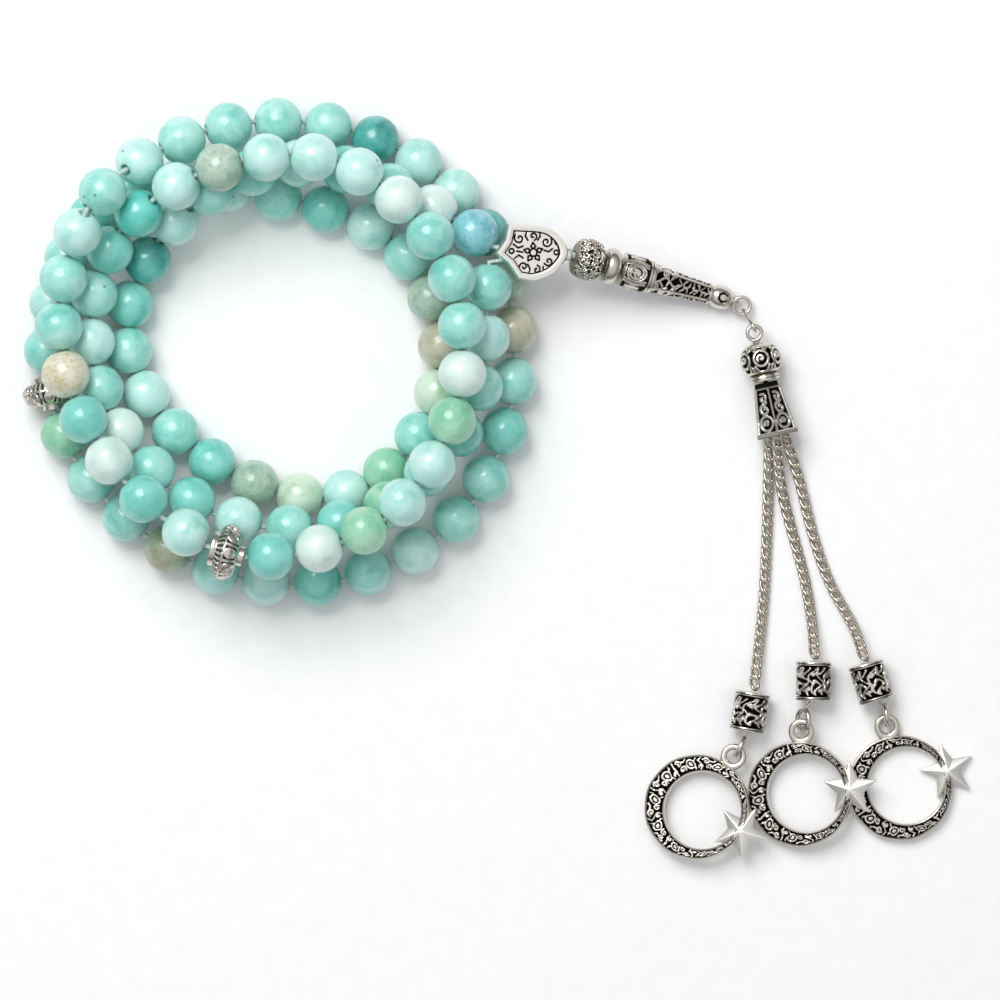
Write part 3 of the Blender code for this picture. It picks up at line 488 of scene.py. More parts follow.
def add_node(tree, kind, settings=None, **links):
    """One node with its settings; a link names an input and gives a socket or a value."""
    node = tree.nodes.new(kind)
    for name, value in (settings or {}).items():
        setattr(node, name, value)
    for name, value in links.items():
        key = int(name[1:]) if name[0] == "i" and name[1:].isdigit() else name.replace("_", " ")
        socket = node.inputs[key]
        if isinstance(value, bpy.types.NodeSocket):
            tree.links.new(value, socket)
        else:
            socket.default_value = value
    return node


def colour_ramp(tree, factor, stops):
    """A ramp of (place, hex colour) stops."""
    node = add_node(tree, "ShaderNodeValToRGB", i0=factor)
    ramp = node.color_ramp
    while len(ramp.elements) < len(stops):
        ramp.elements.new(0.5)
    for element, (place, colour) in zip(ramp.elements, stops):
        element.position = place
        element.color = linear(colour)
    return node.outputs["Color"]


def new_material(name):
    made = bpy.data.materials.new(name)
    made.use_nodes = True
    shader = made.node_tree.nodes["Principled BSDF"]
    return made, made.node_tree, shader


def amazonite(tone):
    """Tumble-polished amazonite: cloudy blue-green feldspar with pale streaks and a few pits."""
    name, body, dark, pale = STONE_TONES[tone]
    made, tree, shader = new_material("polished_amazonite_" + name)
    at = add_node(tree, "ShaderNodeTexCoord").outputs["Object"]
    # Clouds 4 mm across, so a bead shows two or three.
    cloud = add_node(tree, "ShaderNodeTexNoise", Vector=at, Scale=230.0, Detail=5.0, Roughness=0.55,
                     Distortion=0.6)
    base = colour_ramp(tree, cloud.outputs["Fac"], [(0.22, dark), (0.46, body), (0.86, pale)])
    # Perthite streaks, 1.2 mm apart, wavering.
    streak = add_node(tree, "ShaderNodeTexNoise", Vector=at, Scale=900.0, Detail=3.0, Distortion=1.8)
    veil = colour_ramp(tree, streak.outputs["Fac"], [(0.52, "#000000"), (0.72, "#ffffff")])
    strength = add_node(tree, "ShaderNodeMath", {"operation": "MULTIPLY"}, i0=veil,
                        i1=0.8 if tone in "slon" else 0.22)
    streaked = add_node(tree, "ShaderNodeMix", {"data_type": "RGBA"}, i0=strength.outputs[0],
                        i6=base, i7=linear(dark if tone in "slon" else pale))
    # Pits and dark grains 0.3 mm wide, on the odd bead.
    pit = add_node(tree, "ShaderNodeTexVoronoi", Vector=at, Scale=520.0)
    few = add_node(tree, "ShaderNodeTexNoise", Vector=at, Scale=160.0)
    where = add_node(tree, "ShaderNodeMath", {"operation": "GREATER_THAN"}, i0=few.outputs["Fac"], i1=0.66)
    near = add_node(tree, "ShaderNodeMapRange", i0=pit.outputs["Distance"])
    near.inputs["From Min"].default_value = 0.10
    near.inputs["From Max"].default_value = 0.17
    near.inputs["To Min"].default_value = 0.75
    near.inputs["To Max"].default_value = 0.0
    spots = add_node(tree, "ShaderNodeMath", {"operation": "MULTIPLY"}, i0=near.outputs[0],
                     i1=where.outputs[0])
    coloured = add_node(tree, "ShaderNodeMix", {"data_type": "RGBA"}, i0=spots.outputs[0],
                        i6=streaked.outputs[2], i7=linear("#4f5f4e"))
    bump = add_node(tree, "ShaderNodeBump", {"invert": True}, Strength=0.35, Distance=0.05 * MM,
                    Height=spots.outputs[0])
    tree.links.new(coloured.outputs[2], shader.inputs["Base Color"])
    tree.links.new(bump.outputs[0], shader.inputs["Normal"])
    shader.inputs["Roughness"].default_value = 0.30
    shader.inputs["IOR"].default_value = 1.53
    shader.inputs["Subsurface Weight"].default_value = 0.22
    shader.inputs["Subsurface Radius"].default_value = (0.7, 1.0, 0.95)
    shader.inputs["Subsurface Scale"].default_value = 1.6 * MM
    shader.inputs["Coat Weight"].default_value = 0.45
    shader.inputs["Coat Roughness"].default_value = 0.09
    return made


def antique_silver(name, bright, polish, grime):
    """Silver-plated casting, blackened and then rubbed: bright where raised, black where sunk."""
    made, tree, shader = new_material(name)
    at = add_node(tree, "ShaderNodeTexCoord").outputs["Object"]
    raised = add_node(tree, "ShaderNodeAttribute", {"attribute_name": "raised"}).outputs["Fac"]
    # Grime in blots 0.5 mm wide breaks the edge of the blackening.
    blot = add_node(tree, "ShaderNodeTexNoise", Vector=at, Scale=2200.0, Detail=4.0, Roughness=0.65)
    shift = add_node(tree, "ShaderNodeMath", {"operation": "MULTIPLY_ADD"},
                     i0=blot.outputs["Fac"], i1=grime, i2=raised)
    level = add_node(tree, "ShaderNodeMath", {"operation": "SUBTRACT"}, i0=shift.outputs[0],
                     i1=grime / 2)
    colour = colour_ramp(tree, level.outputs[0], [(0.0, "#0e0b08"), (0.3, "#2a231c"),
                                                  (0.55, "#8f877b"), (0.8, bright)])
    dull = add_node(tree, "ShaderNodeMapRange", i0=level.outputs[0])
    dull.inputs["From Min"].default_value = 0.2
    dull.inputs["From Max"].default_value = 0.85
    dull.inputs["To Min"].default_value = 0.75
    dull.inputs["To Max"].default_value = polish
    # Casting skin: dimples 0.15 mm wide.
    skin = add_node(tree, "ShaderNodeTexNoise", Vector=at, Scale=6500.0, Detail=2.0)
    wave = add_node(tree, "ShaderNodeTexNoise", Vector=at, Scale=1500.0, Detail=2.0)
    both = add_node(tree, "ShaderNodeMath", {"operation": "MULTIPLY_ADD"}, i0=wave.outputs["Fac"],
                    i1=2.0, i2=skin.outputs["Fac"])
    bump = add_node(tree, "ShaderNodeBump", Strength=0.18, Distance=0.04 * MM, Height=both.outputs[0])
    tree.links.new(colour, shader.inputs["Base Color"])
    tree.links.new(dull.outputs[0], shader.inputs["Roughness"])
    tree.links.new(bump.outputs[0], shader.inputs["Normal"])
    shader.inputs["Metallic"].default_value = 1.0
    return made


def waxed_thread():
    """Pale green polyester thread, twisted and waxed: faint plies 0.4 mm apart, no shine."""
    made, tree, shader = new_material("waxed_polyester_thread")
    at = add_node(tree, "ShaderNodeTexCoord").outputs["Object"]
    ply = add_node(tree, "ShaderNodeTexNoise", Vector=at, Scale=2500.0, Detail=2.0)
    colour = colour_ramp(tree, ply.outputs["Fac"], [(0.3, "#9fbfb8"), (0.7, "#cfe2dc")])
    tree.links.new(colour, shader.inputs["Base Color"])
    shader.inputs["Roughness"].default_value = 0.6
    return made


def deselect():
    if bpy.context.object and bpy.context.object.mode != "OBJECT":
        bpy.ops.object.mode_set(mode="OBJECT")
    bpy.ops.object.select_all(action="DESELECT")


def close_up(thing, smooth=40.0):
    """Merge the seams, turn the faces outward and shade the piece."""
    deselect()
    thing.select_set(True)
    bpy.context.view_layer.objects.active = thing
    bpy.ops.object.mode_set(mode="EDIT")
    bpy.ops.mesh.select_all(action="SELECT")
    bpy.ops.mesh.remove_doubles(threshold=0.004 * MM)
    bpy.ops.mesh.normals_make_consistent(inside=False)
    bpy.ops.object.mode_set(mode="OBJECT")
    bpy.ops.object.shade_smooth_by_angle(angle=math.radians(smooth))
    return thing


def mark_raised(mesh, level):
    """Store how far each point stands clear of the blackened recesses, from 0 to 1."""
    height = mesh.attributes.new("raised", "FLOAT", "POINT")
    values = np.broadcast_to(level, len(mesh.vertices)).astype(np.float32)
    height.data.foreach_set("value", values)


def own_copy(master):
    """A copy with its own mesh, in the scene."""
    thing = master.copy()
    thing.data = master.data.copy()
    bpy.context.scene.collection.objects.link(thing)
    return thing


def ease_edges(thing, width, segments, angle):
    """Round every edge that is sharper than the angle."""
    edge = thing.modifiers.new("eased_edge", "BEVEL")
    edge.width = width
    edge.segments = segments
    edge.limit_method = "ANGLE"
    edge.angle_limit = math.radians(angle)
    bpy.ops.object.modifier_apply(modifier=edge.name)


def wrapped_grid(name, across, along, shape, smooth=40.0):
    """A grid whose points are moved to shape(u, v), with u and v from 0 to 1.

    shape gives the places as an array and how far each point is raised, from 0 to 1."""
    deselect()
    bpy.ops.mesh.primitive_grid_add(x_subdivisions=across, y_subdivisions=along, size=1.0)
    thing = bpy.context.object
    thing.name = name
    mesh = thing.data
    flat = np.zeros(len(mesh.vertices) * 3, np.float32)
    mesh.vertices.foreach_get("co", flat)
    flat = flat.reshape(-1, 3).astype(float)
    places, raised = shape(flat[:, 0] + 0.5, flat[:, 1] + 0.5)
    mesh.vertices.foreach_set("co", places.astype(np.float32).reshape(-1))
    mark_raised(mesh, raised)
    mesh.update()
    return close_up(thing, smooth)


def finish_piece(thing, place, finish, body, nodes):
    if place is not None:
        thing.data.transform(place)
        thing.data.update()
    thing.data.materials.clear()
    thing.data.materials.append(finish)
    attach(thing, body)
    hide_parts(*nodes)
    return thing


def join_pieces(name, things):
    deselect()
    for thing in things:
        thing.select_set(True)
    bpy.context.view_layer.objects.active = things[0]
    bpy.ops.object.join()
    things[0].name = name
    return things[0]


def along_profile(profile, v):
    """The place and radius at v, from 0 to 1, by length along the profile's points."""
    points = np.array(profile, float)
    steps = np.hypot(*np.diff(points, axis=0).T)
    total = np.concatenate([[0.0], np.cumsum(steps)])
    total /= total[-1]
    return np.interp(v, total, points[:, 0]), np.interp(v, total, points[:, 1])


def marks_on(corners, rings):
    """Evenly spaced marks from 0 to 1, with the nearest moved onto each corner."""
    marks = np.linspace(0, 1, rings + 1)
    for place in corners:
        marks[np.abs(marks - place).argmin()] = place
    return np.sort(marks)


def with_corners(profile, rings):
    """A turned profile's rings: evenly spaced, with the nearest moved onto each corner."""
    points = np.array(profile, float)
    steps = np.hypot(*np.diff(points, axis=0).T)
    return marks_on(np.concatenate([[0.0], np.cumsum(steps)]) / steps.sum(), rings)


def turned(name, profile, sides, rings, relief=None, depth=0.0, level=1.0, smooth=40.0):
    """A piece turned about X from (place, radius) points, with a raised pattern.

    relief(x, turn, radius) gives a height from 0 to 1; depth is what 1 stands above 0."""
    marks = with_corners(profile, rings)

    def shape(u, v):
        v = marks[np.rint(v * rings).astype(int)]
        x, radius = along_profile(profile, v)
        turn = 2 * math.pi * u
        raised = np.full(len(u), level)
        if relief is not None:
            raised = relief(x, turn, radius)
            radius = radius + depth * (raised - 1.0) * (radius > 1.3 * MM)
        return np.stack([x, radius * np.cos(turn), radius * np.sin(turn)], 1), raised

    return wrapped_grid(name, sides, rings, shape, smooth)


def bored(profile, bore):
    """The profile carried on through a bore and back to where it started."""
    return profile + [(profile[-1][0], bore / 2), (profile[0][0], bore / 2), profile[0]]


def select_points(thing, test):
    """In edit mode, select the points whose places pass the test."""
    bpy.context.view_layer.objects.active = thing
    bpy.context.tool_settings.mesh_select_mode = (True, False, False)
    bpy.ops.object.mode_set(mode="EDIT")
    bpy.ops.mesh.select_all(action="DESELECT")
    bpy.ops.object.mode_set(mode="OBJECT")
    for point in thing.data.vertices:
        point.select = bool(test(point.co))
    bpy.ops.object.mode_set(mode="EDIT")


def lay_level(thing, level=1.0):
    """Mark how far the whole piece stands clear of its blackened recesses."""
    mark_raised(thing.data, level)
    return thing


def wire(name, points, diameter, sides=12):
    """A round wire drawn along points, its two ends capped."""
    deselect()
    bpy.ops.curve.primitive_bezier_curve_add()
    line = bpy.context.object
    line.name = name
    curve = line.data
    curve.splines.clear()
    spline = curve.splines.new("POLY")
    spline.points.add(len(points) - 1)
    for knot, point in zip(spline.points, points):
        knot.co = (*point, 1.0)
    curve.dimensions = "3D"
    curve.bevel_depth = diameter / 2
    curve.bevel_resolution = sides // 2 - 2
    curve.use_fill_caps = True
    bpy.ops.object.convert(target="MESH")
    return close_up(lay_level(bpy.context.object))


def wire_ring(name, radius, diameter, stretch=0.0, steps=48, sides=12):
    """A closed ring of round wire lying in XY, drawn out along X by stretch."""
    deselect()
    bpy.ops.mesh.primitive_torus_add(major_radius=radius, minor_radius=diameter / 2,
                                     major_segments=steps, minor_segments=sides)
    ring = bpy.context.object
    ring.name = name
    for way in (1, -1) if stretch else ():
        select_points(ring, lambda p: p.x * way > 0.01 * MM)
        bpy.ops.transform.translate(value=(way * stretch / 2, 0, 0))
        bpy.ops.object.mode_set(mode="OBJECT")
    return close_up(lay_level(ring), 60)


# ---------------------------------------------------------------- engraved patterns

def spiral(x, y, reach, start, turns, hand=1, steps=22):
    """A scroll that winds in to its eye, in millimetres."""
    t = np.linspace(0, 1, steps)
    angle = start + hand * 2 * math.pi * turns * t
    radius = reach * (1 - 0.82 * t)
    return np.stack([x + radius * np.cos(angle), y + radius * np.sin(angle)], 1)


def ring_line(x, y, radius, steps=16):
    angle = np.linspace(0, 2 * math.pi, steps)
    return np.stack([x + radius * np.cos(angle), y + radius * np.sin(angle)], 1)


def stroke_height(x, y, lines, half_width):
    """How far a rounded ridge along the lines stands up at each point, from 0 to 1."""
    nearest = np.full(len(x), 1e9)
    for line in lines:
        for (ax, ay), (bx, by) in zip(line[:-1], line[1:]):
            dx, dy = bx - ax, by - ay
            along = np.clip(((x - ax) * dx + (y - ay) * dy) / max(dx * dx + dy * dy, 1e-9), 0, 1)
            nearest = np.minimum(nearest, (x - ax - along * dx) ** 2 + (y - ay - along * dy) ** 2)
    share = np.clip(1 - np.sqrt(nearest) / half_width, 0, 1)
    return np.clip(1.6 * np.sqrt(share), 0, 1)


def vine_tile():
    """One repeat of the vine, 3.2 wide: a waving stem, scrolls either side, leaves between."""
    t = np.linspace(0, 1, 18)
    stem = np.stack([3.2 * t, 0.55 * np.sin(2 * math.pi * t)], 1)
    return [stem, spiral(0.9, 1.35, 0.62, -1.9, 1.3), spiral(2.5, -1.35, 0.62, 1.2, 1.3),
            [(1.6, 0.5), (2.1, 1.0), (2.3, 1.75)], [(2.3, 1.75), (2.9, 1.2), (3.2, 1.9)],
            [(0.0, -0.4), (0.5, -1.0), (0.3, -1.75)], [(0.5, -1.0), (1.2, -1.6)],
            [(2.9, 0.2), (2.75, 0.75)]]


def vine_height(x, y, half_width=0.23):
    """The vine repeated along x; both in millimetres."""
    return stroke_height(np.mod(x, 3.2), y, vine_tile(), half_width)


def scroll_band(x, y, half_width=0.2):
    """Discs with curls between them, 4.4 apart along x, for a channel 2 wide."""
    local = np.mod(x, 4.4)
    lines = [ring_line(0.95, 0.0, 0.66), spiral(2.3, 0.42, 0.52, 2.6, 1.1),
             spiral(2.95, -0.45, 0.5, -0.5, 1.1, -1),
             [(1.7, -0.9), (2.1, -0.55), (2.5, -0.6)], [(3.5, 0.95), (3.3, 0.4), (3.7, 0.0)],
             [(3.7, 0.0), (4.0, -0.5), (3.8, -0.95)], spiral(3.95, 0.55, 0.34, 3.4, 0.9),
             [(0.1, 0.9), (0.3, 0.6)], [(0.0, -0.9), (0.25, -0.4)]]
    disc = np.clip((0.4 - np.hypot(local - 0.95, y)) / 0.1, 0, 1) * 0.9
    return np.maximum(stroke_height(local, y, lines, half_width), disc)


def worm_height(points):
    """Rows of worm-like granules, 0.35 mm apart."""
    values = np.array([noise.noise(Vector(p) * 1900.0) for p in points])
    return np.clip(1.3 - np.abs(values) * 3.6, 0, 1)


# ---------------------------------------------------------------- strand

def bead_shape():
    """A ball drilled through along X, the edge of each mouth eased."""
    deselect()
    bpy.ops.mesh.primitive_uv_sphere_add(segments=36, ring_count=24, radius=BEAD_DIAMETER / 2)
    bead = bpy.context.object
    bead.name = "bead_pattern"
    bpy.ops.object.mode_set(mode="EDIT")
    bpy.ops.mesh.select_all(action="SELECT")
    bpy.ops.transform.rotate(value=math.pi / 2, orient_axis="Y", center_override=(0, 0, 0))
    bpy.ops.object.mode_set(mode="OBJECT")
    select_points(bead, lambda p: math.hypot(p.y, p.z) < BEAD_BORE / 2)
    bpy.ops.mesh.delete(type="VERT")
    bpy.ops.mesh.select_non_manifold()
    bpy.ops.mesh.bridge_edge_loops()
    bpy.ops.object.mode_set(mode="OBJECT")
    ease_edges(bead, 0.14 * MM, 2, 50)
    return close_up(bead, 50)


def strand_beads(joints, stones):
    """Every bead as its own piece, standing for its CAD run or its own CAD node."""
    items = strand_items()
    master = bead_shape()
    frames = [frame_along((a + b) / 2, b - a) for a, b in zip(joints, joints[1:])]
    run, number, run_number = [], 0, 0
    for item, frame in zip(items + ["end"], frames + [None]):
        loose = item == "bead" and number + 1 in LOOSE_BEADS
        if run and (item != "bead" or loose or len(run) == BEADS_PER_RUN):
            run_number += 1
            for first, place in run:
                add_bead(master, first, place, stones, "strand", f"bead_run_{run_number:02d}")
            run = []
        if item == "bead":
            number += 1
            if loose:
                add_bead(master, number, frame, stones, f"bead_{number:02d}", f"bead_{number:02d}")
            else:
                run.append((number, frame))
    bpy.data.objects.remove(master)


def add_bead(master, number, place, stones, body, node):
    thing = own_copy(master)
    thing.name = f"stone_bead_{number:02d}"
    tone = BEAD_TONES[number - 1]
    turn = Matrix.Rotation(1.7 * number, 4, "X")
    finish_piece(thing, place @ turn, stones[tone], body, [node])


def strand_thread(joints, shield, finish):
    """The thread through the beads, with each end led into the shield bead."""
    meeting = shield_meeting(shield)
    side = (shield.to_3x3() @ Vector((0, 1, 0))) * (THREAD_DIAMETER / 2 + FIT_GAP / 2)
    first = meeting + side if (joints[0] - meeting).dot(side) > 0 else meeting - side
    knots = [first] + joints + [2 * meeting - first]
    thing = wire("strand_thread", knots, THREAD_DIAMETER, 10)
    finish_piece(thing, None, finish, "strand", ["thread"])


def divider_piece(number, place, silver):
    """A domed roundel with pierced petals on one flank and ribs on the other, a tube end and a collar."""
    half, radius = DIVIDER_LENGTH / 2, DIVIDER_DIAMETER / 2
    profile = [(-half, 0.30 * radius), (-half, 0.36 * radius), (-0.74 * half, 0.36 * radius),
               (-0.7 * half, 0.66 * radius), (-0.52 * half, 0.86 * radius), (-0.22 * half, 0.97 * radius),
               (0.1 * half, radius), (0.34 * half, 0.95 * radius), (0.6 * half, 0.78 * radius),
               (0.66 * half, 0.60 * radius), (0.72 * half, 0.60 * radius), (0.8 * half, 0.63 * radius),
               (0.94 * half, 0.62 * radius), (half, 0.54 * radius)]

    def relief(x, turn, r):
        arc = turn / (2 * math.pi) * 24.0
        cell = np.mod(arc, 2.4) - 1.2
        across = (x / half + 0.28) * 2.0
        petals = stroke_height(cell, across, [ring_line(0.0, 0.0, 0.62), spiral(0.0, 0.0, 0.36, 0.4, 0.9),
                                              [(-1.2, 0.85), (0.0, 1.05), (1.2, 0.85)],
                                              [(-1.2, -0.85), (0.0, -1.0), (1.2, -0.85)],
                                              [(1.2, -0.7), (1.2, 0.7)],
                                              [(-1.2, -0.7), (-1.2, 0.7)]], 0.24)
        ribs = 0.35 + 0.65 * np.clip(0.5 + 0.9 * np.cos(arc * 2 * math.pi / 0.8), 0, 1)
        flank = (x > 0.24 * half) & (x < 0.63 * half)
        raised = np.where(flank, ribs, 0.25 + 0.75 * petals)
        return np.where((x < -0.71 * half) | (x >= 0.63 * half), 1.0, raised)

    thing = turned(f"divider_{number}_roundel", bored(profile, BEAD_BORE), 240, 110, relief, 0.42 * MM)
    finish_piece(thing, place, silver, f"divider_{number}", [f"divider_{number}"])


def dividers(joints, silver):
    number = 0
    for item, a, b in zip(strand_items(), joints, joints[1:]):
        if item == "divider":
            number += 1
            divider_piece(number, frame_along((a + b) / 2, b - a), silver)


# ---------------------------------------------------------------- leader

def shield_outline():
    """The shield's edge, smooth but for its tip and its two corners."""
    smooth = smooth_route([(x, y, 0) for x, y in SHIELD_OUTLINE[2:10]])
    line = [Vector((x, y, 0)) for x, y in SHIELD_OUTLINE[:2]] + smooth
    line += [Vector((*SHIELD_OUTLINE[10], 0)), Vector((0, 0, 0))]
    steps = distances(line)
    return np.array([list(p.xy) for p in line]), np.array(steps) / steps[-1]


def shield_lines():
    """Incised flower scrolls, close together and kept clear of any lettering."""
    lines = [spiral(4.0, 2.5, 0.95, 2.4, 1.1), spiral(4.8, -2.2, 0.85, -2.2, 1.1, -1),
             spiral(8.6, 2.0, 0.95, 0.6, 1.2, -1), spiral(9.0, -1.2, 0.8, 3.6, 1.1),
             spiral(6.3, 2.9, 0.72, -1.2, 1.0), spiral(7.0, -2.6, 0.7, 1.4, 1.0, -1),
             ring_line(6.4, 0.2, 0.62), ring_line(2.7, 0.35, 0.4), ring_line(10.3, 0.3, 0.36)]
    for k in range(5):
        turn = 2 * math.pi * (k + 0.3) / 5
        out, side = np.array([math.cos(turn), math.sin(turn)]), np.array([-math.sin(turn), math.cos(turn)])
        middle = np.array([6.4, 0.2])
        lines.append(np.array([middle + 0.62 * out, middle + 1.0 * out + 0.42 * side, middle + 1.65 * out,
                               middle + 1.0 * out - 0.42 * side, middle + 0.62 * out]))
    lines += [[(3.0, 1.5), (3.8, 0.9), (4.6, 1.2)], [(3.3, -0.8), (4.0, -0.3), (4.7, -0.8)],
              [(8.2, 0.6), (9.0, 0.4), (9.6, 0.9)], [(5.2, 3.6), (5.0, 2.9), (5.4, 2.2)],
              [(7.4, 3.7), (7.5, 2.9), (7.1, 2.3)], [(5.7, -3.3), (5.9, -2.6), (5.5, -1.8)],
              [(8.2, -2.9), (8.1, -2.1)], [(2.9, 2.7), (3.0, 3.5), (3.8, 3.9)],
              [(9.9, 2.2), (10.3, 1.5)], [(3.6, 0.35), (4.6, 0.2)]]
    return lines


def shield_piece(frame, silver):
    """A flat shield: raised border, blackened line inside it, and an engraved field on both faces."""
    outline, share = shield_outline()
    middle = np.array([6.2, 0.2])
    half = SHIELD_THICKNESS / 2 / MM
    profile = [(0.0, half - 0.2), (0.725, half - 0.2), (0.735, half - 0.42), (0.765, half - 0.42),
               (0.775, half - 0.06), (0.86, half), (0.955, half - 0.03), (0.995, half - 0.35),
               (1.0, half - 0.9)]
    profile += [(s, -z) for s, z in profile[::-1]]
    steps = [math.hypot(6 * (b[0] - a[0]), b[1] - a[1]) for a, b in zip(profile, profile[1:])]
    total = np.cumsum([0.0] + steps) / sum(steps)
    rings = 190
    marks = marks_on(total, rings)
    lines = shield_lines()

    def shape(u, v):
        v = marks[np.rint(v * rings).astype(int)]
        s = np.interp(v, total, [p[0] for p in profile])
        z = np.interp(v, total, [p[1] for p in profile])
        x = middle[0] + s * (np.interp(u, share, outline[:, 0]) - middle[0])
        y = middle[1] + s * (np.interp(u, share, outline[:, 1]) - middle[1])
        cut = stroke_height(x, y, lines, 0.15)
        field = (s < 0.72) & (np.abs(z) > half - 0.4)
        raised = np.where(field, 1.0 - 0.95 * cut, np.where((s < 0.773) & (s > 0.728), 0.0, 1.0))
        z = z - np.sign(z) * np.where(field, 0.16 * cut, 0.0)
        return np.stack([x, y, z], 1) * MM, raised

    thing = wrapped_grid("shield_bead_plate", 320, rings, shape)
    end = shield_length()
    neck = turned("neck", bored([(end - 1.0 * MM, 0.56 * NECK_DIAMETER),
                                 (end - 0.2 * MM, 0.5 * NECK_DIAMETER),
                                 (end + NECK_LENGTH - 0.15 * MM, 0.5 * NECK_DIAMETER),
                                 (end + NECK_LENGTH, 0.45 * NECK_DIAMETER)], CORD_BORE), 40, 16)
    thing = join_pieces("shield_bead_plate", [thing, neck])
    finish_piece(thing, frame, silver, "strand", ["shield_bead"])


def barrel_piece(frame, silver):
    """A barrel bead covered in worm-like granulation."""
    half, radius = BARREL_LENGTH / 2, BARREL_DIAMETER / 2
    profile = [(-half, 0.5 * radius), (-half, 0.62 * radius), (-0.88 * half, 0.79 * radius)]
    for k in range(9):
        t = k / 4 - 1
        profile.append((0.8 * half * t, radius * (1 - 0.15 * t * t)))
    profile += [(0.88 * half, 0.79 * radius), (half, 0.62 * radius), (half, 0.5 * radius)]

    def relief(x, turn, r):
        points = np.stack([x, r * np.cos(turn), r * np.sin(turn)], 1) * 1.25
        return np.where(np.abs(x) < 0.93 * half, 0.2 + 0.8 * worm_height(points), 0.6)

    thing = turned("barrel_bead_granulated", bored(profile, CORD_BORE), 300, 130, relief, 0.26 * MM)
    finish_piece(thing, frame, silver, "barrel", ["barrel_bead"])


def rondelle_piece(frame, polished):
    half, radius = RONDELLE_LENGTH / 2, RONDELLE_DIAMETER / 2
    profile = [(-half, 0.5 * radius), (-half, 0.62 * radius), (-0.93 * half, 0.66 * radius),
               (-0.86 * half, 0.64 * radius)]
    for k in range(11):
        angle = math.radians(-72 + 14.4 * k)
        profile.append((0.84 * half * math.sin(angle), radius * (0.6 + 0.4 * math.cos(angle) ** 0.6)))
    profile += [(0.86 * half, 0.64 * radius), (0.93 * half, 0.66 * radius), (half, 0.62 * radius),
                (half, 0.5 * radius)]
    thing = turned("rondelle_bead_polished", bored(profile, CORD_BORE), 72, 60)
    finish_piece(thing, frame, polished, "rondelle", ["rondelle_bead"])


def round_from(turn, count, start, radius):
    """Distance round a turned piece from the nearest of count evenly spaced places, in millimetres."""
    step = 2 * math.pi / count
    return (np.mod(turn - start + step / 2, step) - step / 2) * radius / MM


def medallions(x, turn, radius, middle, count, reach, start):
    """Raised rings with a scroll inside, set round a drum; places in millimetres."""
    local = round_from(turn, count, start, radius)
    along = (x - middle) / MM
    lines = [ring_line(0, 0, reach, 28), ring_line(0, 0, 0.72 * reach, 24),
             spiral(0.25, 0.2, 0.5 * reach, 0.3, 1.3),
             spiral(-0.35, -0.35, 0.42 * reach, 3.4, 1.1, -1),
             ring_line(0.1, -0.15, 0.22 * reach, 12)]
    for way in (1, -1):
        lines += [[(-1.15 * reach, way * 1.3), (0, way * 1.25 * reach), (1.15 * reach, way * 1.3)],
                  [(-1.2 * reach, way * 1.8), (0, way * 1.5 * reach), (1.2 * reach, way * 1.8)],
                  [(-0.7 * reach, way * 2.9), (0, way * 1.8 * reach), (0.7 * reach, way * 2.9)]]
    return stroke_height(along, local, lines, 0.22)


def drum_piece(frame, silver):
    radius, length = DRUM_DIAMETER / 2, DRUM_LENGTH
    band = BAND_DIAMETER / 2
    top = math.pi / 2
    end = length + BAND_LENGTH
    profile = [(0, CORD_BORE / 2), (0, 0.7 * radius), (0.25 * MM, 0.93 * radius), (0.5 * MM, radius),
               (length - 0.35 * MM, radius), (length - 0.1 * MM, 0.9 * radius), (length, 0.9 * radius),
               (length + 0.08 * MM, band), (length + 0.4 * MM, band), (length + 0.47 * MM, 0.93 * band),
               (length + 0.53 * MM, band), (end - 0.05 * MM, band), (end, 0.9 * band), (end, 0.0)]

    def relief(x, turn, r):
        body = (x > 0.4 * MM) & (x < length - 0.3 * MM)
        raised = medallions(x, turn, r, length / 2, 3, 1.62, top)
        step = (x > length - 0.2 * MM) & (x < length + 0.04 * MM)
        groove = step | (np.abs(x - length - 0.47 * MM) < 0.05 * MM)
        return np.where(body, 0.16 + 0.84 * raised, np.where(groove, 0.1, 1.0))

    thing = turned("leader_drum", profile, 220, 130, relief, 0.3 * MM)
    finish_piece(thing, frame, silver, "leader", ["imame_body"])


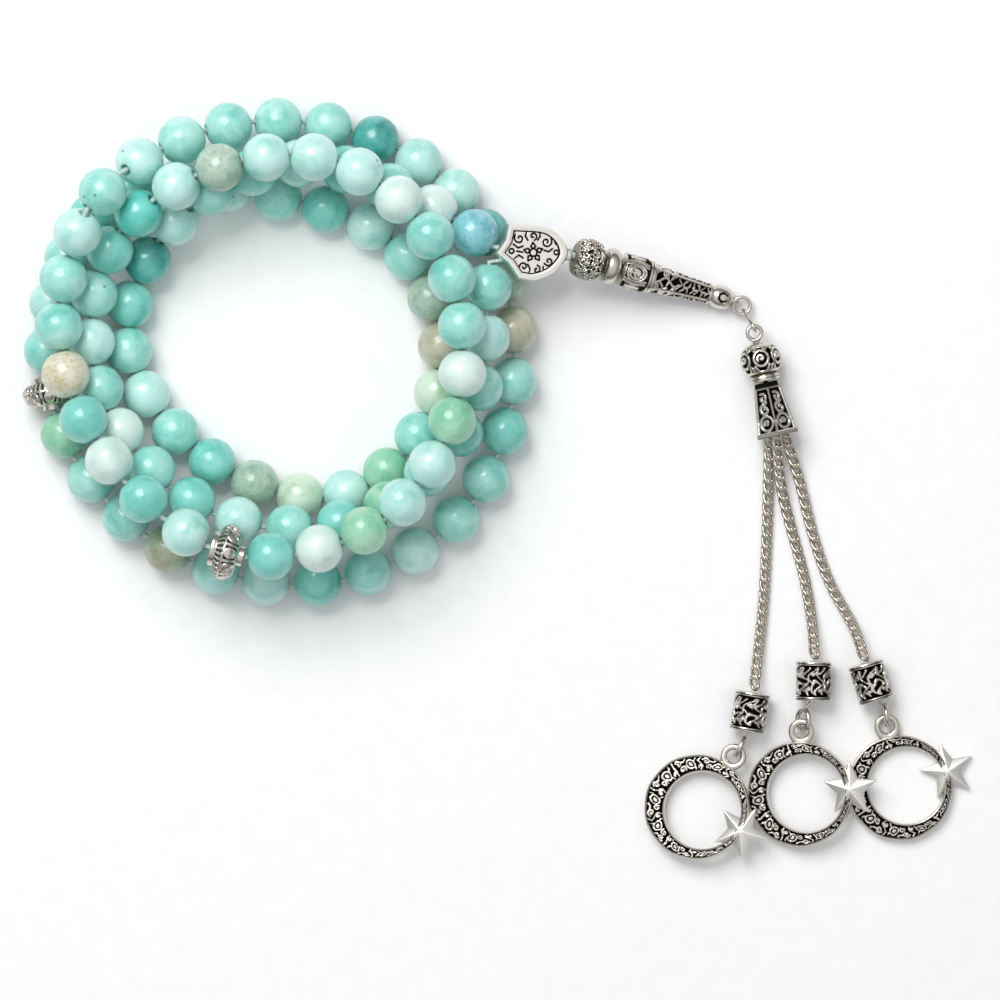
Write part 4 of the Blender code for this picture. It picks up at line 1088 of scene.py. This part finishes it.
def shaft_piece(frame, silver):
    """The tapered shaft: four scrolled panels between plain ridges."""
    start, length = DRUM_LENGTH + BAND_LENGTH, SHAFT_LENGTH
    wide, slim = SHAFT_DIAMETERS[0] / 2, SHAFT_DIAMETERS[1] / 2
    profile = [(start - 0.2 * MM, 0.0), (start - 0.2 * MM, 0.9 * wide), (start + 0.1 * MM, wide)]
    for k in range(1, 8):
        t = k / 8
        profile.append((start + length * t, wide + (slim - wide) * (t ** 0.82)))
    profile += [(start + length - 0.5 * MM, slim), (start + length - 0.45 * MM, 1.06 * slim),
                (start + length - 0.1 * MM, 1.06 * slim), (start + length, 0.9 * slim), (start + length, 0.0)]

    def relief(x, turn, r):
        panel = np.mod(turn / (math.pi / 2) + 0.5, 1.0) - 0.5
        across = panel * (math.pi / 2) * r / MM
        along = (x - start) / MM
        width = (math.pi / 4) * r / MM
        ridge = np.clip((0.3 - np.abs(np.abs(across) - width)) / 0.14, 0, 1)
        scrolls = vine_height(along * 0.95 + 0.4, across, 0.23)
        hooks = [[(0.0, 1.5), (0.5, 0.6), (0.25, -0.1), (0.7, -1.5)],
                 [(0.95, 1.3), (1.2, 0.3), (1.5, -0.2), (1.35, -1.3)], spiral(0.85, 0.1, 0.32, 0.0, 0.8)]
        wander = along + 0.25 * np.sin(2.3 * along) * np.cos(3.0 * across)
        ribs = stroke_height(np.mod(wander, 1.7), across * (1 + 0.05 * along), hooks, 0.19)
        raised = 0.03 + 0.97 * np.maximum(ridge, np.where(along < 4.2, scrolls, ribs))
        ends = (along < 0.35) | (along > length / MM - 0.5)
        return np.where(ends, 1.0, raised)

    thing = turned("leader_shaft", profile, 220, 200, relief, 0.3 * MM)
    finish_piece(thing, frame, silver, "leader", ["imame_body"])


def knob_piece(frame, silver, polished):
    """The end knob, with an open eye on each of three sides, and the wire lug."""
    start = DRUM_LENGTH + BAND_LENGTH + SHAFT_LENGTH
    radius = KNOB_DIAMETER / 2
    profile = [(start - 0.2 * MM, 0.0), (start - 0.2 * MM, 0.5 * radius), (start + 0.1 * MM, 0.72 * radius)]
    for k in range(9):
        angle = math.radians(-58 + 14.5 * k)
        profile.append((start + radius + 1.02 * radius * math.sin(angle), radius * math.cos(angle) ** 0.55))
    profile += [(start + 2 * radius, 0.4 * radius), (start + 2 * radius, 0.0)]

    def relief(x, turn, r):
        local = round_from(turn, 3, math.pi / 2, radius)
        along = (x - start - radius) / MM
        reach = np.hypot(local, along)
        sunk = (reach > 0.62) & (reach < 0.98) & ~((along > 0.2) & (np.abs(local) < 0.35))
        return np.where(sunk, 0.1, 1.0)

    thing = turned("leader_knob", profile, 120, 60, relief, 0.22 * MM)
    finish_piece(thing, frame, silver, "leader", ["imame_body"])
    lug = wire_ring("leader_lug", LUG_RADIUS, WIRE_DIAMETER)
    place = frame @ Matrix.Translation((start + 2 * radius + LUG_RADIUS / 2, 0, 0))
    finish_piece(lug, place @ Matrix.Rotation(math.pi / 2, 4, "X"), polished, "leader", ["imame_body"])


# ---------------------------------------------------------------- ring, link and cap

def ring_and_link(ring, link, polished):
    thing = wire_ring("round_jump_ring", RING_RADIUS, DRAWN_LINK_WIRE)
    finish_piece(thing, ring @ Matrix.Translation((RING_RADIUS, 0, 0)), polished, "jump_ring", ["jump_ring"])
    radius = (LINK_WIDTH - WIRE_DIAMETER) / 2
    thing = wire_ring("oval_link", radius, DRAWN_LINK_WIRE, LINK_LENGTH - 2 * radius)
    place = link @ Matrix.Translation((LINK_LENGTH / 2, 0, 0)) @ Matrix.Rotation(math.pi / 2, 4, "X")
    finish_piece(thing, place, polished, "long_link", ["long_link"])


def cap_ball_piece(cap, silver, polished):
    """The cap's ball: a row of six discs with scrolls, and points between them."""
    ball, flange, bell, _ = cap_lengths()
    radius, half = CAP_BALL_DIAMETER / 2, CAP_BALL_LENGTH / 2
    middle = ball + half
    profile = [(CAP_EYE_RADIUS + 0.1 * MM, 0.0), (CAP_EYE_RADIUS + 0.1 * MM, 0.42 * MM),
               (ball - 0.3 * MM, 0.75 * MM), (ball - 0.1 * MM, 0.95 * MM),
               (ball, 0.3 * radius)]
    for k in range(13):
        angle = math.radians(-66 + 11 * k)
        profile.append((middle + 1.08 * half * math.sin(angle), radius * math.cos(angle) ** 0.7))
    rim = FLANGE_DIAMETER / 2
    profile += [(flange - 0.15 * MM, 0.72 * rim), (flange - 0.1 * MM, 0.97 * rim), (flange + 0.15 * MM, rim),
                (flange + 0.3 * MM, 0.9 * rim), (flange + 0.4 * MM, rim), (bell - FIT_GAP, 0.98 * rim),
                (bell - FIT_GAP, 0.0)]

    def relief(x, turn, r):
        local = round_from(turn, 6, math.pi / 2, radius)
        along = (x - middle) / MM + 0.3
        lines = [ring_line(0, 0, 1.32, 24), spiral(0, 0, 0.74, 1.0, 0.95),
                 [(2.05, -0.9), (1.25, -1.35), (1.6, -1.78), (2.05, -1.78)],
                 [(2.05, 0.9), (1.25, 1.35), (1.6, 1.78), (2.05, 1.78)],
                 [(-1.9, -1.78), (-1.35, -1.1), (-1.9, -0.6)], [(-1.9, 1.78), (-1.35, 1.1), (-1.9, 0.6)],
                 [(2.3, -1.78), (2.3, 0), (2.3, 1.78)], [(-2.0, -1.78), (-2.0, 0), (-2.0, 1.78)]]
        raised = 0.06 + 0.94 * stroke_height(along, local, lines, 0.26)
        return np.where((x > middle - 0.88 * half) & (x < middle + 0.86 * half), raised, 1.0)

    thing = turned("cap_ball_engraved", profile, 240, 140, relief, 0.32 * MM)
    finish_piece(thing, cap, silver, "cap", ["cap_ball"])
    eye = wire_ring("cap_eye", CAP_EYE_RADIUS + 0.08 * MM, DRAWN_CAP_EYE_WIRE)
    finish_piece(eye, cap, polished, "cap", ["cap_ball"])


def cap_bell_piece(cap, silver):
    """The six-sided bell: bright ridges on its corners, three scrolls and a ring on each panel."""
    _, _, start, mouth = cap_lengths()
    top, wide = BELL_NECK_DIAMETER / 2, BELL_MOUTH_DIAMETER / 2
    rim = mouth - 0.9 * MM
    profile = [(start, 0.7 * MM), (start, 0.92 * top), (start + 0.9 * MM, top), (start + 1.0 * MM, 1.1 * top),
               (start + 1.3 * MM, 1.12 * top), (rim, 0.92 * wide), (rim + 0.25 * MM, 0.98 * wide),
               (mouth - 0.3 * MM, wide), (mouth - 0.08 * MM, 0.97 * wide), (mouth, 0.92 * wide),
               (mouth, 0.84 * wide), (rim, 0.74 * wide), (start + 2.4 * MM, 0.8 * top),
               (start + 1.2 * MM, 0.7 * MM), (start, 0.7 * MM)]
    marks = with_corners(profile, 190)

    def shape(u, v):
        v = marks[np.rint(v * 190).astype(int)]
        x, radius = along_profile(profile, v)
        turn = 2 * math.pi * u
        step = math.pi / 3
        local = np.mod(turn - math.pi / 2, step) - step / 2
        flat = radius * math.cos(step / 2) / np.cos(local)
        width = radius * math.cos(step / 2) * math.tan(step / 2) / MM
        across = radius * math.cos(step / 2) * np.tan(local) / MM
        along = (x - start) / MM
        outside = (v < 0.52) & (x > start + 1.2 * MM) & (x < rim)
        lines = [spiral(2.6, 0.1, 0.85, 2.8, 1.0), spiral(4.5, -0.1, 1.0, 2.8, 1.05, -1),
                 ring_line(6.8, 0.0, 1.2, 22), spiral(6.8, 0.0, 0.6, 1.2, 0.9),
                 [(3.3, -0.5), (3.9, 0.1)], [(5.3, 0.3), (5.7, -0.5)]]
        motif = stroke_height(along, across, lines, 0.29)
        edge = np.clip((0.3 - (width - np.abs(across))) / 0.12, 0, 1)
        raised = np.where(outside, 0.03 + 0.97 * np.maximum(motif, edge), 1.0)
        raised = np.where((v > 0.62) | (x < start + 0.85 * MM), 0.15, raised)
        flat = flat + np.where(outside, 0.34 * MM * (raised - 1.0), 0.0)
        return np.stack([x, flat * np.cos(turn), flat * np.sin(turn)], 1), raised

    thing = wrapped_grid("cap_bell_engraved", 252, 190, shape, 30)
    finish_piece(thing, cap, silver, "cap", ["cap_bell"])


# ---------------------------------------------------------------- chains

CHAIN_PITCH = 1.85 * MM
CHAIN_LINK_LENGTH = 3.15 * MM
CHAIN_LINK_WIDTH = 1.85 * MM
CHAIN_WIRE = 0.62 * MM


def chain_link_shape():
    """One oval link lying in XY, its two ends twisted against each other as in a curb chain."""
    radius = (CHAIN_LINK_WIDTH - CHAIN_WIRE) / 2
    link = wire_ring("link", radius, CHAIN_WIRE, CHAIN_LINK_LENGTH - CHAIN_WIRE - 2 * radius, 20, 8)
    for way in (1, -1):
        select_points(link, lambda p: p.x * way > 0.25 * MM)
        bpy.ops.transform.rotate(value=way * math.radians(38), orient_axis="X", center_override=(0, 0, 0))
        bpy.ops.object.mode_set(mode="OBJECT")
    return link


def chain_links(side, cap, finish):
    """Interlinked curb links along each chain, riding on the CAD segments they fill."""
    curve = chain_curve(side, cap)
    total = distances(curve)
    master = chain_link_shape()
    count = round(total[-1] / CHAIN_PITCH)
    pitch = total[-1] / count
    spans = chain_marks(total)
    groups = [[] for _ in spans]
    for k in range(count):
        middle = (k + 0.5) * pitch
        before, after = point_at(curve, total, middle - pitch / 2), point_at(curve, total, middle + pitch / 2)
        place = frame_along((before + after) / 2, after - before)
        slant = Matrix.Rotation(math.radians(8), 4, "X") @ Matrix.Rotation(math.radians(15), 4, "Z")
        thing = own_copy(master)
        thing.data.transform(place @ slant)
        here = [i for i, (_, end) in enumerate(spans) if middle <= end + CHAIN_JOINT_GAP / 2]
        groups[here[0] if here else -1].append(thing)
    bpy.data.objects.remove(master)
    for i, group in enumerate(groups):
        node = f"chain_{side}_{i + 1}"
        thing = join_pieces(node + "_links", group)
        finish_piece(thing, None, finish, node, [node])


# ---------------------------------------------------------------- cylinder beads, eyes, charms

def cylinder_piece(side, cap, silver):
    """A short tube: rolled rims, and a net of vines standing on a black ground."""
    radius, length, rim = CYLINDER_DIAMETER / 2, CYLINDER_LENGTH, 0.85 * MM
    profile = [(0, CYLINDER_BORE / 2), (0, 0.86 * radius), (0.12 * MM, 0.98 * radius), (0.3 * MM, radius),
               (0.34 * MM, 0.97 * radius), (0.42 * MM, 0.97 * radius), (0.48 * MM, radius),
               (rim - 0.1 * MM, 0.985 * radius),
               (rim, 0.86 * radius), (rim + 0.1 * MM, 0.96 * radius)]
    profile += [(length - x, r) for x, r in profile[::-1]]

    def relief(x, turn, r):
        arc = turn / (2 * math.pi) * 19.2
        along = (x - length / 2) / MM
        inside = np.abs(along) < (length / 2 - rim) / MM - 0.08
        wander = arc + 0.42 * np.sin(2.4 * along + 0.8) + 0.2 * np.sin(3 * arc * math.pi / 9.6)
        climb = along + 0.38 * np.sin(5 * arc * math.pi / 9.6 + 0.6) * np.cos(0.9 * along)
        net = stroke_height(np.mod(wander, 3.2), climb, vine_net(), 0.27)
        groove = np.abs(np.abs(along) - (length / 2 - rim) / MM) < 0.12
        line = np.abs(np.abs(along) - (length / 2 / MM - 0.38)) < 0.05
        return np.where(inside, 0.03 + 0.97 * net, np.where(groove, 0.03, np.where(line, 0.35, 1.0)))

    thing = turned(f"cylinder_bead_{side}", profile + [profile[0]], 240, 170, relief, 0.36 * MM)
    turn = Matrix.Rotation({"left": 0.4, "middle": 1.5, "right": 2.3}[side], 4, "X")
    finish_piece(thing, cylinder_frame(side, cap) @ turn, silver, f"cylinder_{side}", [f"cylinder_{side}"])


def vine_net():
    """Crossing branches with short curls, 3.2 wide and 4.8 high."""
    lines = [[(0.0, -2.3), (0.8, -1.2), (1.6, -0.1), (2.4, 0.9), (3.2, 2.2)],
             [(3.2, -2.3), (2.6, -1.1), (1.6, -0.1), (0.9, 1.1), (0.0, 2.2)],
             [(0.0, 0.1), (0.7, 0.4), (0.9, 1.1)], [(3.2, 0.1), (2.5, 0.3), (2.4, 0.9)],
             [(1.6, 2.3), (1.5, 1.6), (1.1, 1.5)], [(1.6, -2.3), (1.75, -1.5), (2.3, -1.3)],
             spiral(1.65, 1.35, 0.45, 0.2, 0.9), spiral(0.1, -1.1, 0.42, 0.0, 0.9),
             spiral(3.3, -1.1, 0.42, 0.0, 0.9)]
    return lines


def eye_piece(side, cap, polished):
    """The eye wire's ring and its shank through the tube bead."""
    cylinder, eye = cylinder_frame(side, cap), eye_frame(side, cap)
    node = f"eye_wire_{side}"
    loop = wire_ring("loop", EYE_RADIUS, DRAWN_EYE_WIRE)
    loop.data.transform(eye @ Matrix.Rotation(math.radians(EYE_ROLLS[side]), 4, "X"))
    mouth = cylinder @ Vector((CYLINDER_LENGTH, 0, 0))
    start = eye @ Vector((-EYE_RADIUS, 0, 0))
    inner = cylinder @ Vector((CYLINDER_LENGTH - 1.2 * MM, 0, 0))
    shank = wire("shank", [cylinder @ Vector((FIT_GAP, 0, 0)), inner, mouth, (mouth + start) / 2, start],
                 EYE_WIRE_DIAMETER)
    thing = join_pieces(node + "_ring", [loop, shank])
    finish_piece(thing, None, polished, node, [node])


def crescent_shape(side):
    """The crescent: two bright rims with a black channel of discs and scrolls between."""
    outer, inner = CHARM_DIAMETER / 2 / MM, CHARM_HOLE_DIAMETER / 2 / MM
    shift = CHARM_HOLE_OFFSET / MM
    thick = CHARM_THICKNESS / MM
    rim = 0.4
    low = thick - 0.55

    def shape(u, v):
        turn = 2 * math.pi * u
        along = np.cos(turn - math.radians(STAR_BEARING)) * shift
        reach = along + np.sqrt(inner ** 2 - shift ** 2 + along ** 2)
        width = outer - reach
        # v runs across the top from outside to inside, then back along the flat face.
        knots = np.array([0.0, 0.07, 0.10, 0.15, 0.19, 0.22, 0.58, 0.61, 0.65, 0.70, 0.73, 0.80, 1.0])
        heights = np.array([0.0, thick - 0.35, thick - 0.08, thick, thick - 0.1, low, low, thick - 0.1, thick,
                            thick - 0.08, thick - 0.35, 0.0, 0.0])
        fixed = np.array([0.0, 0.0, 0.1, 0.24, rim - 0.06, rim, -rim, 0.06 - rim, -0.24, -0.1, -1e-6,
                          -1e-6, 0.0])
        z = np.interp(v, knots, heights)
        inset = np.zeros(len(v))
        for i in range(len(knots) - 1):
            here = (v >= knots[i]) & (v <= knots[i + 1])
            t = (v[here] - knots[i]) / (knots[i + 1] - knots[i])
            a = fixed[i] + (width[here] if fixed[i] < 0 else 0)
            b = fixed[i + 1] + (width[here] if fixed[i + 1] < 0 else 0)
            inset[here] = a + (b - a) * t
        radius = outer - inset
        channel = (v > 0.215) & (v < 0.585)
        room = np.maximum(width - 2 * rim, 0.2)
        across = (inset - width / 2) / room * 2.1
        arc = turn * (outer - 1.8) + {"left": 0.0, "middle": 1.9, "right": 3.4}[side]
        wander = arc + 0.22 * np.sin(3.0 * across) * np.sin(turn * 7)
        motif = scroll_band(wander, across, 0.19)
        raised = np.where(channel, 0.05 + 0.85 * motif, 1.0)
        raised = np.where((v > 0.19) & (v <= 0.215) | (v >= 0.585) & (v < 0.615), 0.15, raised)
        z = z + np.where(channel, 0.48 * motif, 0.0)
        wobble = 0.05 * np.sin(turn * 9 + 1.0) * ((v > 0.05) & (v < 0.25))
        radius = radius + wobble
        return np.stack([radius * np.cos(turn), radius * np.sin(turn), z], 1) * MM, raised

    return wrapped_grid("crescent", 480, 100, shape, 35)


def star_shape():
    """A five-pointed star with sharp ridges, a lifted middle and a bevelled edge."""
    deselect()
    bpy.ops.mesh.primitive_circle_add(vertices=10, fill_type="TRIFAN",
                                      radius=DRAWN_STAR_REACH * STAR_RADIUS,
                                      rotation=(0, 0, math.radians(STAR_TURN)))
    thing = bpy.context.object
    bpy.ops.object.transform_apply(rotation=True)
    mesh = thing.data
    for vertex in mesh.vertices:
        reach = vertex.co.xy.length
        if reach < 0.1 * MM:
            vertex.co.z = DRAWN_STAR_PEAK * STAR_PEAK
            continue
        turn = math.degrees(math.atan2(vertex.co.y, vertex.co.x)) - STAR_TURN
        point = round(turn / 36) % 2 == 0
        if not point:
            vertex.co.xy *= DRAWN_STAR_WAIST * STAR_WAIST
        vertex.co.z = STAR_RIM if point else 0.92 * STAR_RIM
    bpy.ops.object.mode_set(mode="EDIT")
    bpy.ops.mesh.select_all(action="DESELECT")
    bpy.ops.mesh.select_non_manifold()
    bpy.ops.mesh.extrude_edges_move(TRANSFORM_OT_translate={"value": (0, 0, -0.95 * STAR_RIM)})
    bpy.ops.mesh.edge_face_add()
    bpy.ops.object.mode_set(mode="OBJECT")
    ease_edges(thing, 0.12 * MM, 3, 20)
    return close_up(lay_level(thing), 25)


def loop_shape():
    """The cast hanging loop: a flattened ring on a short neck."""
    def shape(u, v):
        around, section = 2 * math.pi * u, 2 * math.pi * v
        broad = 0.52 + 0.2 * np.clip(np.cos(around), 0, 1) ** 3
        across = CHARM_LOOP_RADIUS / MM + broad * np.cos(section) + 0.12 * np.clip(np.cos(around), 0, 1) ** 6
        z = 0.36 * np.sin(section)
        return np.stack([across * np.cos(around), across * np.sin(around), z], 1) * MM, 1.0

    return wrapped_grid("loop", 64, 20, shape)


def charm_piece(side, cap, silver, polished, satin):
    frame = charm_frame(side, cap)
    middle = frame @ Matrix.Translation((CHARM_LOOP_DISTANCE, 0, 0))
    node, body = f"charm_{side}", f"charm_{side}"
    crescent = crescent_shape(side)
    crescent.name = f"{node}_crescent"
    finish_piece(crescent, middle, silver, body, [node])
    star = star_shape()
    star.name = f"{node}_star"
    place = middle @ Matrix.Translation(heading(STAR_BEARING) * STAR_DISTANCE)
    finish_piece(star, place, satin, body, [node])
    loop = loop_shape()
    loop.name = f"{node}_loop"
    finish_piece(loop, frame @ Matrix.Translation((0, 0, CHARM_LOOP_HEIGHT)), polished, body, [node])


# ---------------------------------------------------------------- surface, light and camera

VIEW_CENTRE = Vector((0.0 * MM, -3.4 * MM, 6.0 * MM))
VIEW_WIDTH = 166.7 * MM
CAMERA_HEIGHT = 1.1


def lay_surface():
    """Pale matt table top."""
    deselect()
    bpy.ops.mesh.primitive_plane_add(size=3.0, location=(0, 0, 0))
    floor = bpy.context.object
    floor.name = "table_top"
    made, tree, shader = new_material("matt_white_card")
    at = add_node(tree, "ShaderNodeTexCoord").outputs["Object"]
    # Card fibre, drawn 3 mm wide so that it shows as a faint change of tone.
    fibre = add_node(tree, "ShaderNodeTexNoise", Vector=at, Scale=300.0, Detail=3.0)
    colour = colour_ramp(tree, fibre.outputs["Fac"], [(0.3, "#f3f3f4"), (0.7, "#f7f7f7")])
    tree.links.new(colour, shader.inputs["Base Color"])
    shader.inputs["Roughness"].default_value = 0.9
    shader.inputs["Specular IOR Level"].default_value = 0.1
    floor.data.materials.append(made)


def softbox(name, place, size, power, aim=(0, 0, 0)):
    light = bpy.data.lights.new(name, "AREA")
    light.shape = "SQUARE"
    light.size = size
    light.energy = power
    thing = bpy.data.objects.new(name, light)
    bpy.context.scene.collection.objects.link(thing)
    thing.location = place
    thing.rotation_euler = (Vector(aim) - Vector(place)).to_track_quat("-Z", "Y").to_euler()
    return thing


def light_studio():
    """A broad box above the upper left, and a sky that is bright overhead and darkens to its edge."""
    softbox("key_softbox", (-0.24, 0.38, 0.64), 0.44, 3.9)
    softbox("sharp_window", (-0.14, 0.26, 0.78), 0.07, 0.35)
    world = bpy.data.worlds.new("studio")
    bpy.context.scene.world = world
    world.use_nodes = True
    tree = world.node_tree
    at = add_node(tree, "ShaderNodeTexCoord").outputs["Generated"]
    height = add_node(tree, "ShaderNodeSeparateXYZ", Vector=at).outputs["Z"]
    sky = colour_ramp(tree, height, [(0.0, "#4c4f51"), (0.3, "#919496"), (0.6, "#cfd1d3"), (0.85, "#ffffff")])
    tree.links.new(sky, tree.nodes["Background"].inputs[0])
    tree.nodes["Background"].inputs[1].default_value = 0.82
    bpy.context.scene.view_settings.view_transform = "Standard"
    bpy.context.scene.view_settings.look = "None"


def set_camera():
    camera = bpy.data.objects.new("camera", bpy.data.cameras.new("camera"))
    bpy.context.scene.collection.objects.link(camera)
    camera.data.sensor_width = 36.0
    camera.data.lens = 36.0 * CAMERA_HEIGHT / VIEW_WIDTH
    camera.data.clip_start = 0.01
    camera.location = VIEW_CENTRE + Vector((0, 0, CAMERA_HEIGHT))
    camera.rotation_euler = (0, 0, 0)
    bpy.context.scene.camera = camera


def dress_hidden_nodes(thread_finish, silver):
    """Finishes for the CAD nodes that stay: the doubled thread and the cap's pin."""
    for node in ("leader_cord", "leader_core"):
        frame["nodes"][node].data.materials.clear()
        frame["nodes"][node].data.materials.append(thread_finish)
    frame["nodes"]["eye_pin"].data.materials.clear()
    frame["nodes"]["eye_pin"].data.materials.append(silver)


def main():
    joints = settled_joints()
    stones = {tone: amazonite(tone) for tone in STONE_TONES}
    engraved = antique_silver("blackened_and_rubbed_silver", "#d6d1c8", 0.24, 0.22)
    rubbed = antique_silver("bright_rubbed_shield_silver", "#f2efe8", 0.38, 0.08)
    polished = antique_silver("rubbed_plain_silver", "#cfc9bf", 0.22, 0.5)
    satin = antique_silver("satin_star_silver", "#efece5", 0.40, 0.2)
    chain_finish = antique_silver("rubbed_chain_silver", "#c3baad", 0.26, 0.9)
    thread_finish = waxed_thread()
    strand_beads(joints, stones)
    dividers(joints, engraved)
    shield, imame, ring, link, cap = pendant_frames(joints)
    strand_thread(joints, shield, thread_finish)
    shield_piece(shield, rubbed)
    barrel, rondelle, body, _ = imame_lengths()
    barrel_piece(imame @ Matrix.Translation((barrel + BARREL_LENGTH / 2, 0, 0)), engraved)
    rondelle_piece(imame @ Matrix.Translation((rondelle + RONDELLE_LENGTH / 2, 0, 0)), polished)
    leader = imame @ Matrix.Translation((body, 0, 0))
    drum_piece(leader, engraved)
    shaft_piece(leader, engraved)
    knob_piece(leader, engraved, polished)
    ring_and_link(ring, link, polished)
    cap_ball_piece(cap, engraved, polished)
    cap_bell_piece(cap, engraved)
    for side in CHAIN_STARTS:
        chain_links(side, cap, chain_finish)
        cylinder_piece(side, cap, engraved)
        eye_piece(side, cap, polished)
        charm_piece(side, cap, engraved, polished, satin)
    dress_hidden_nodes(thread_finish, polished)
    lay_surface()
    light_studio()
    set_camera()


main()
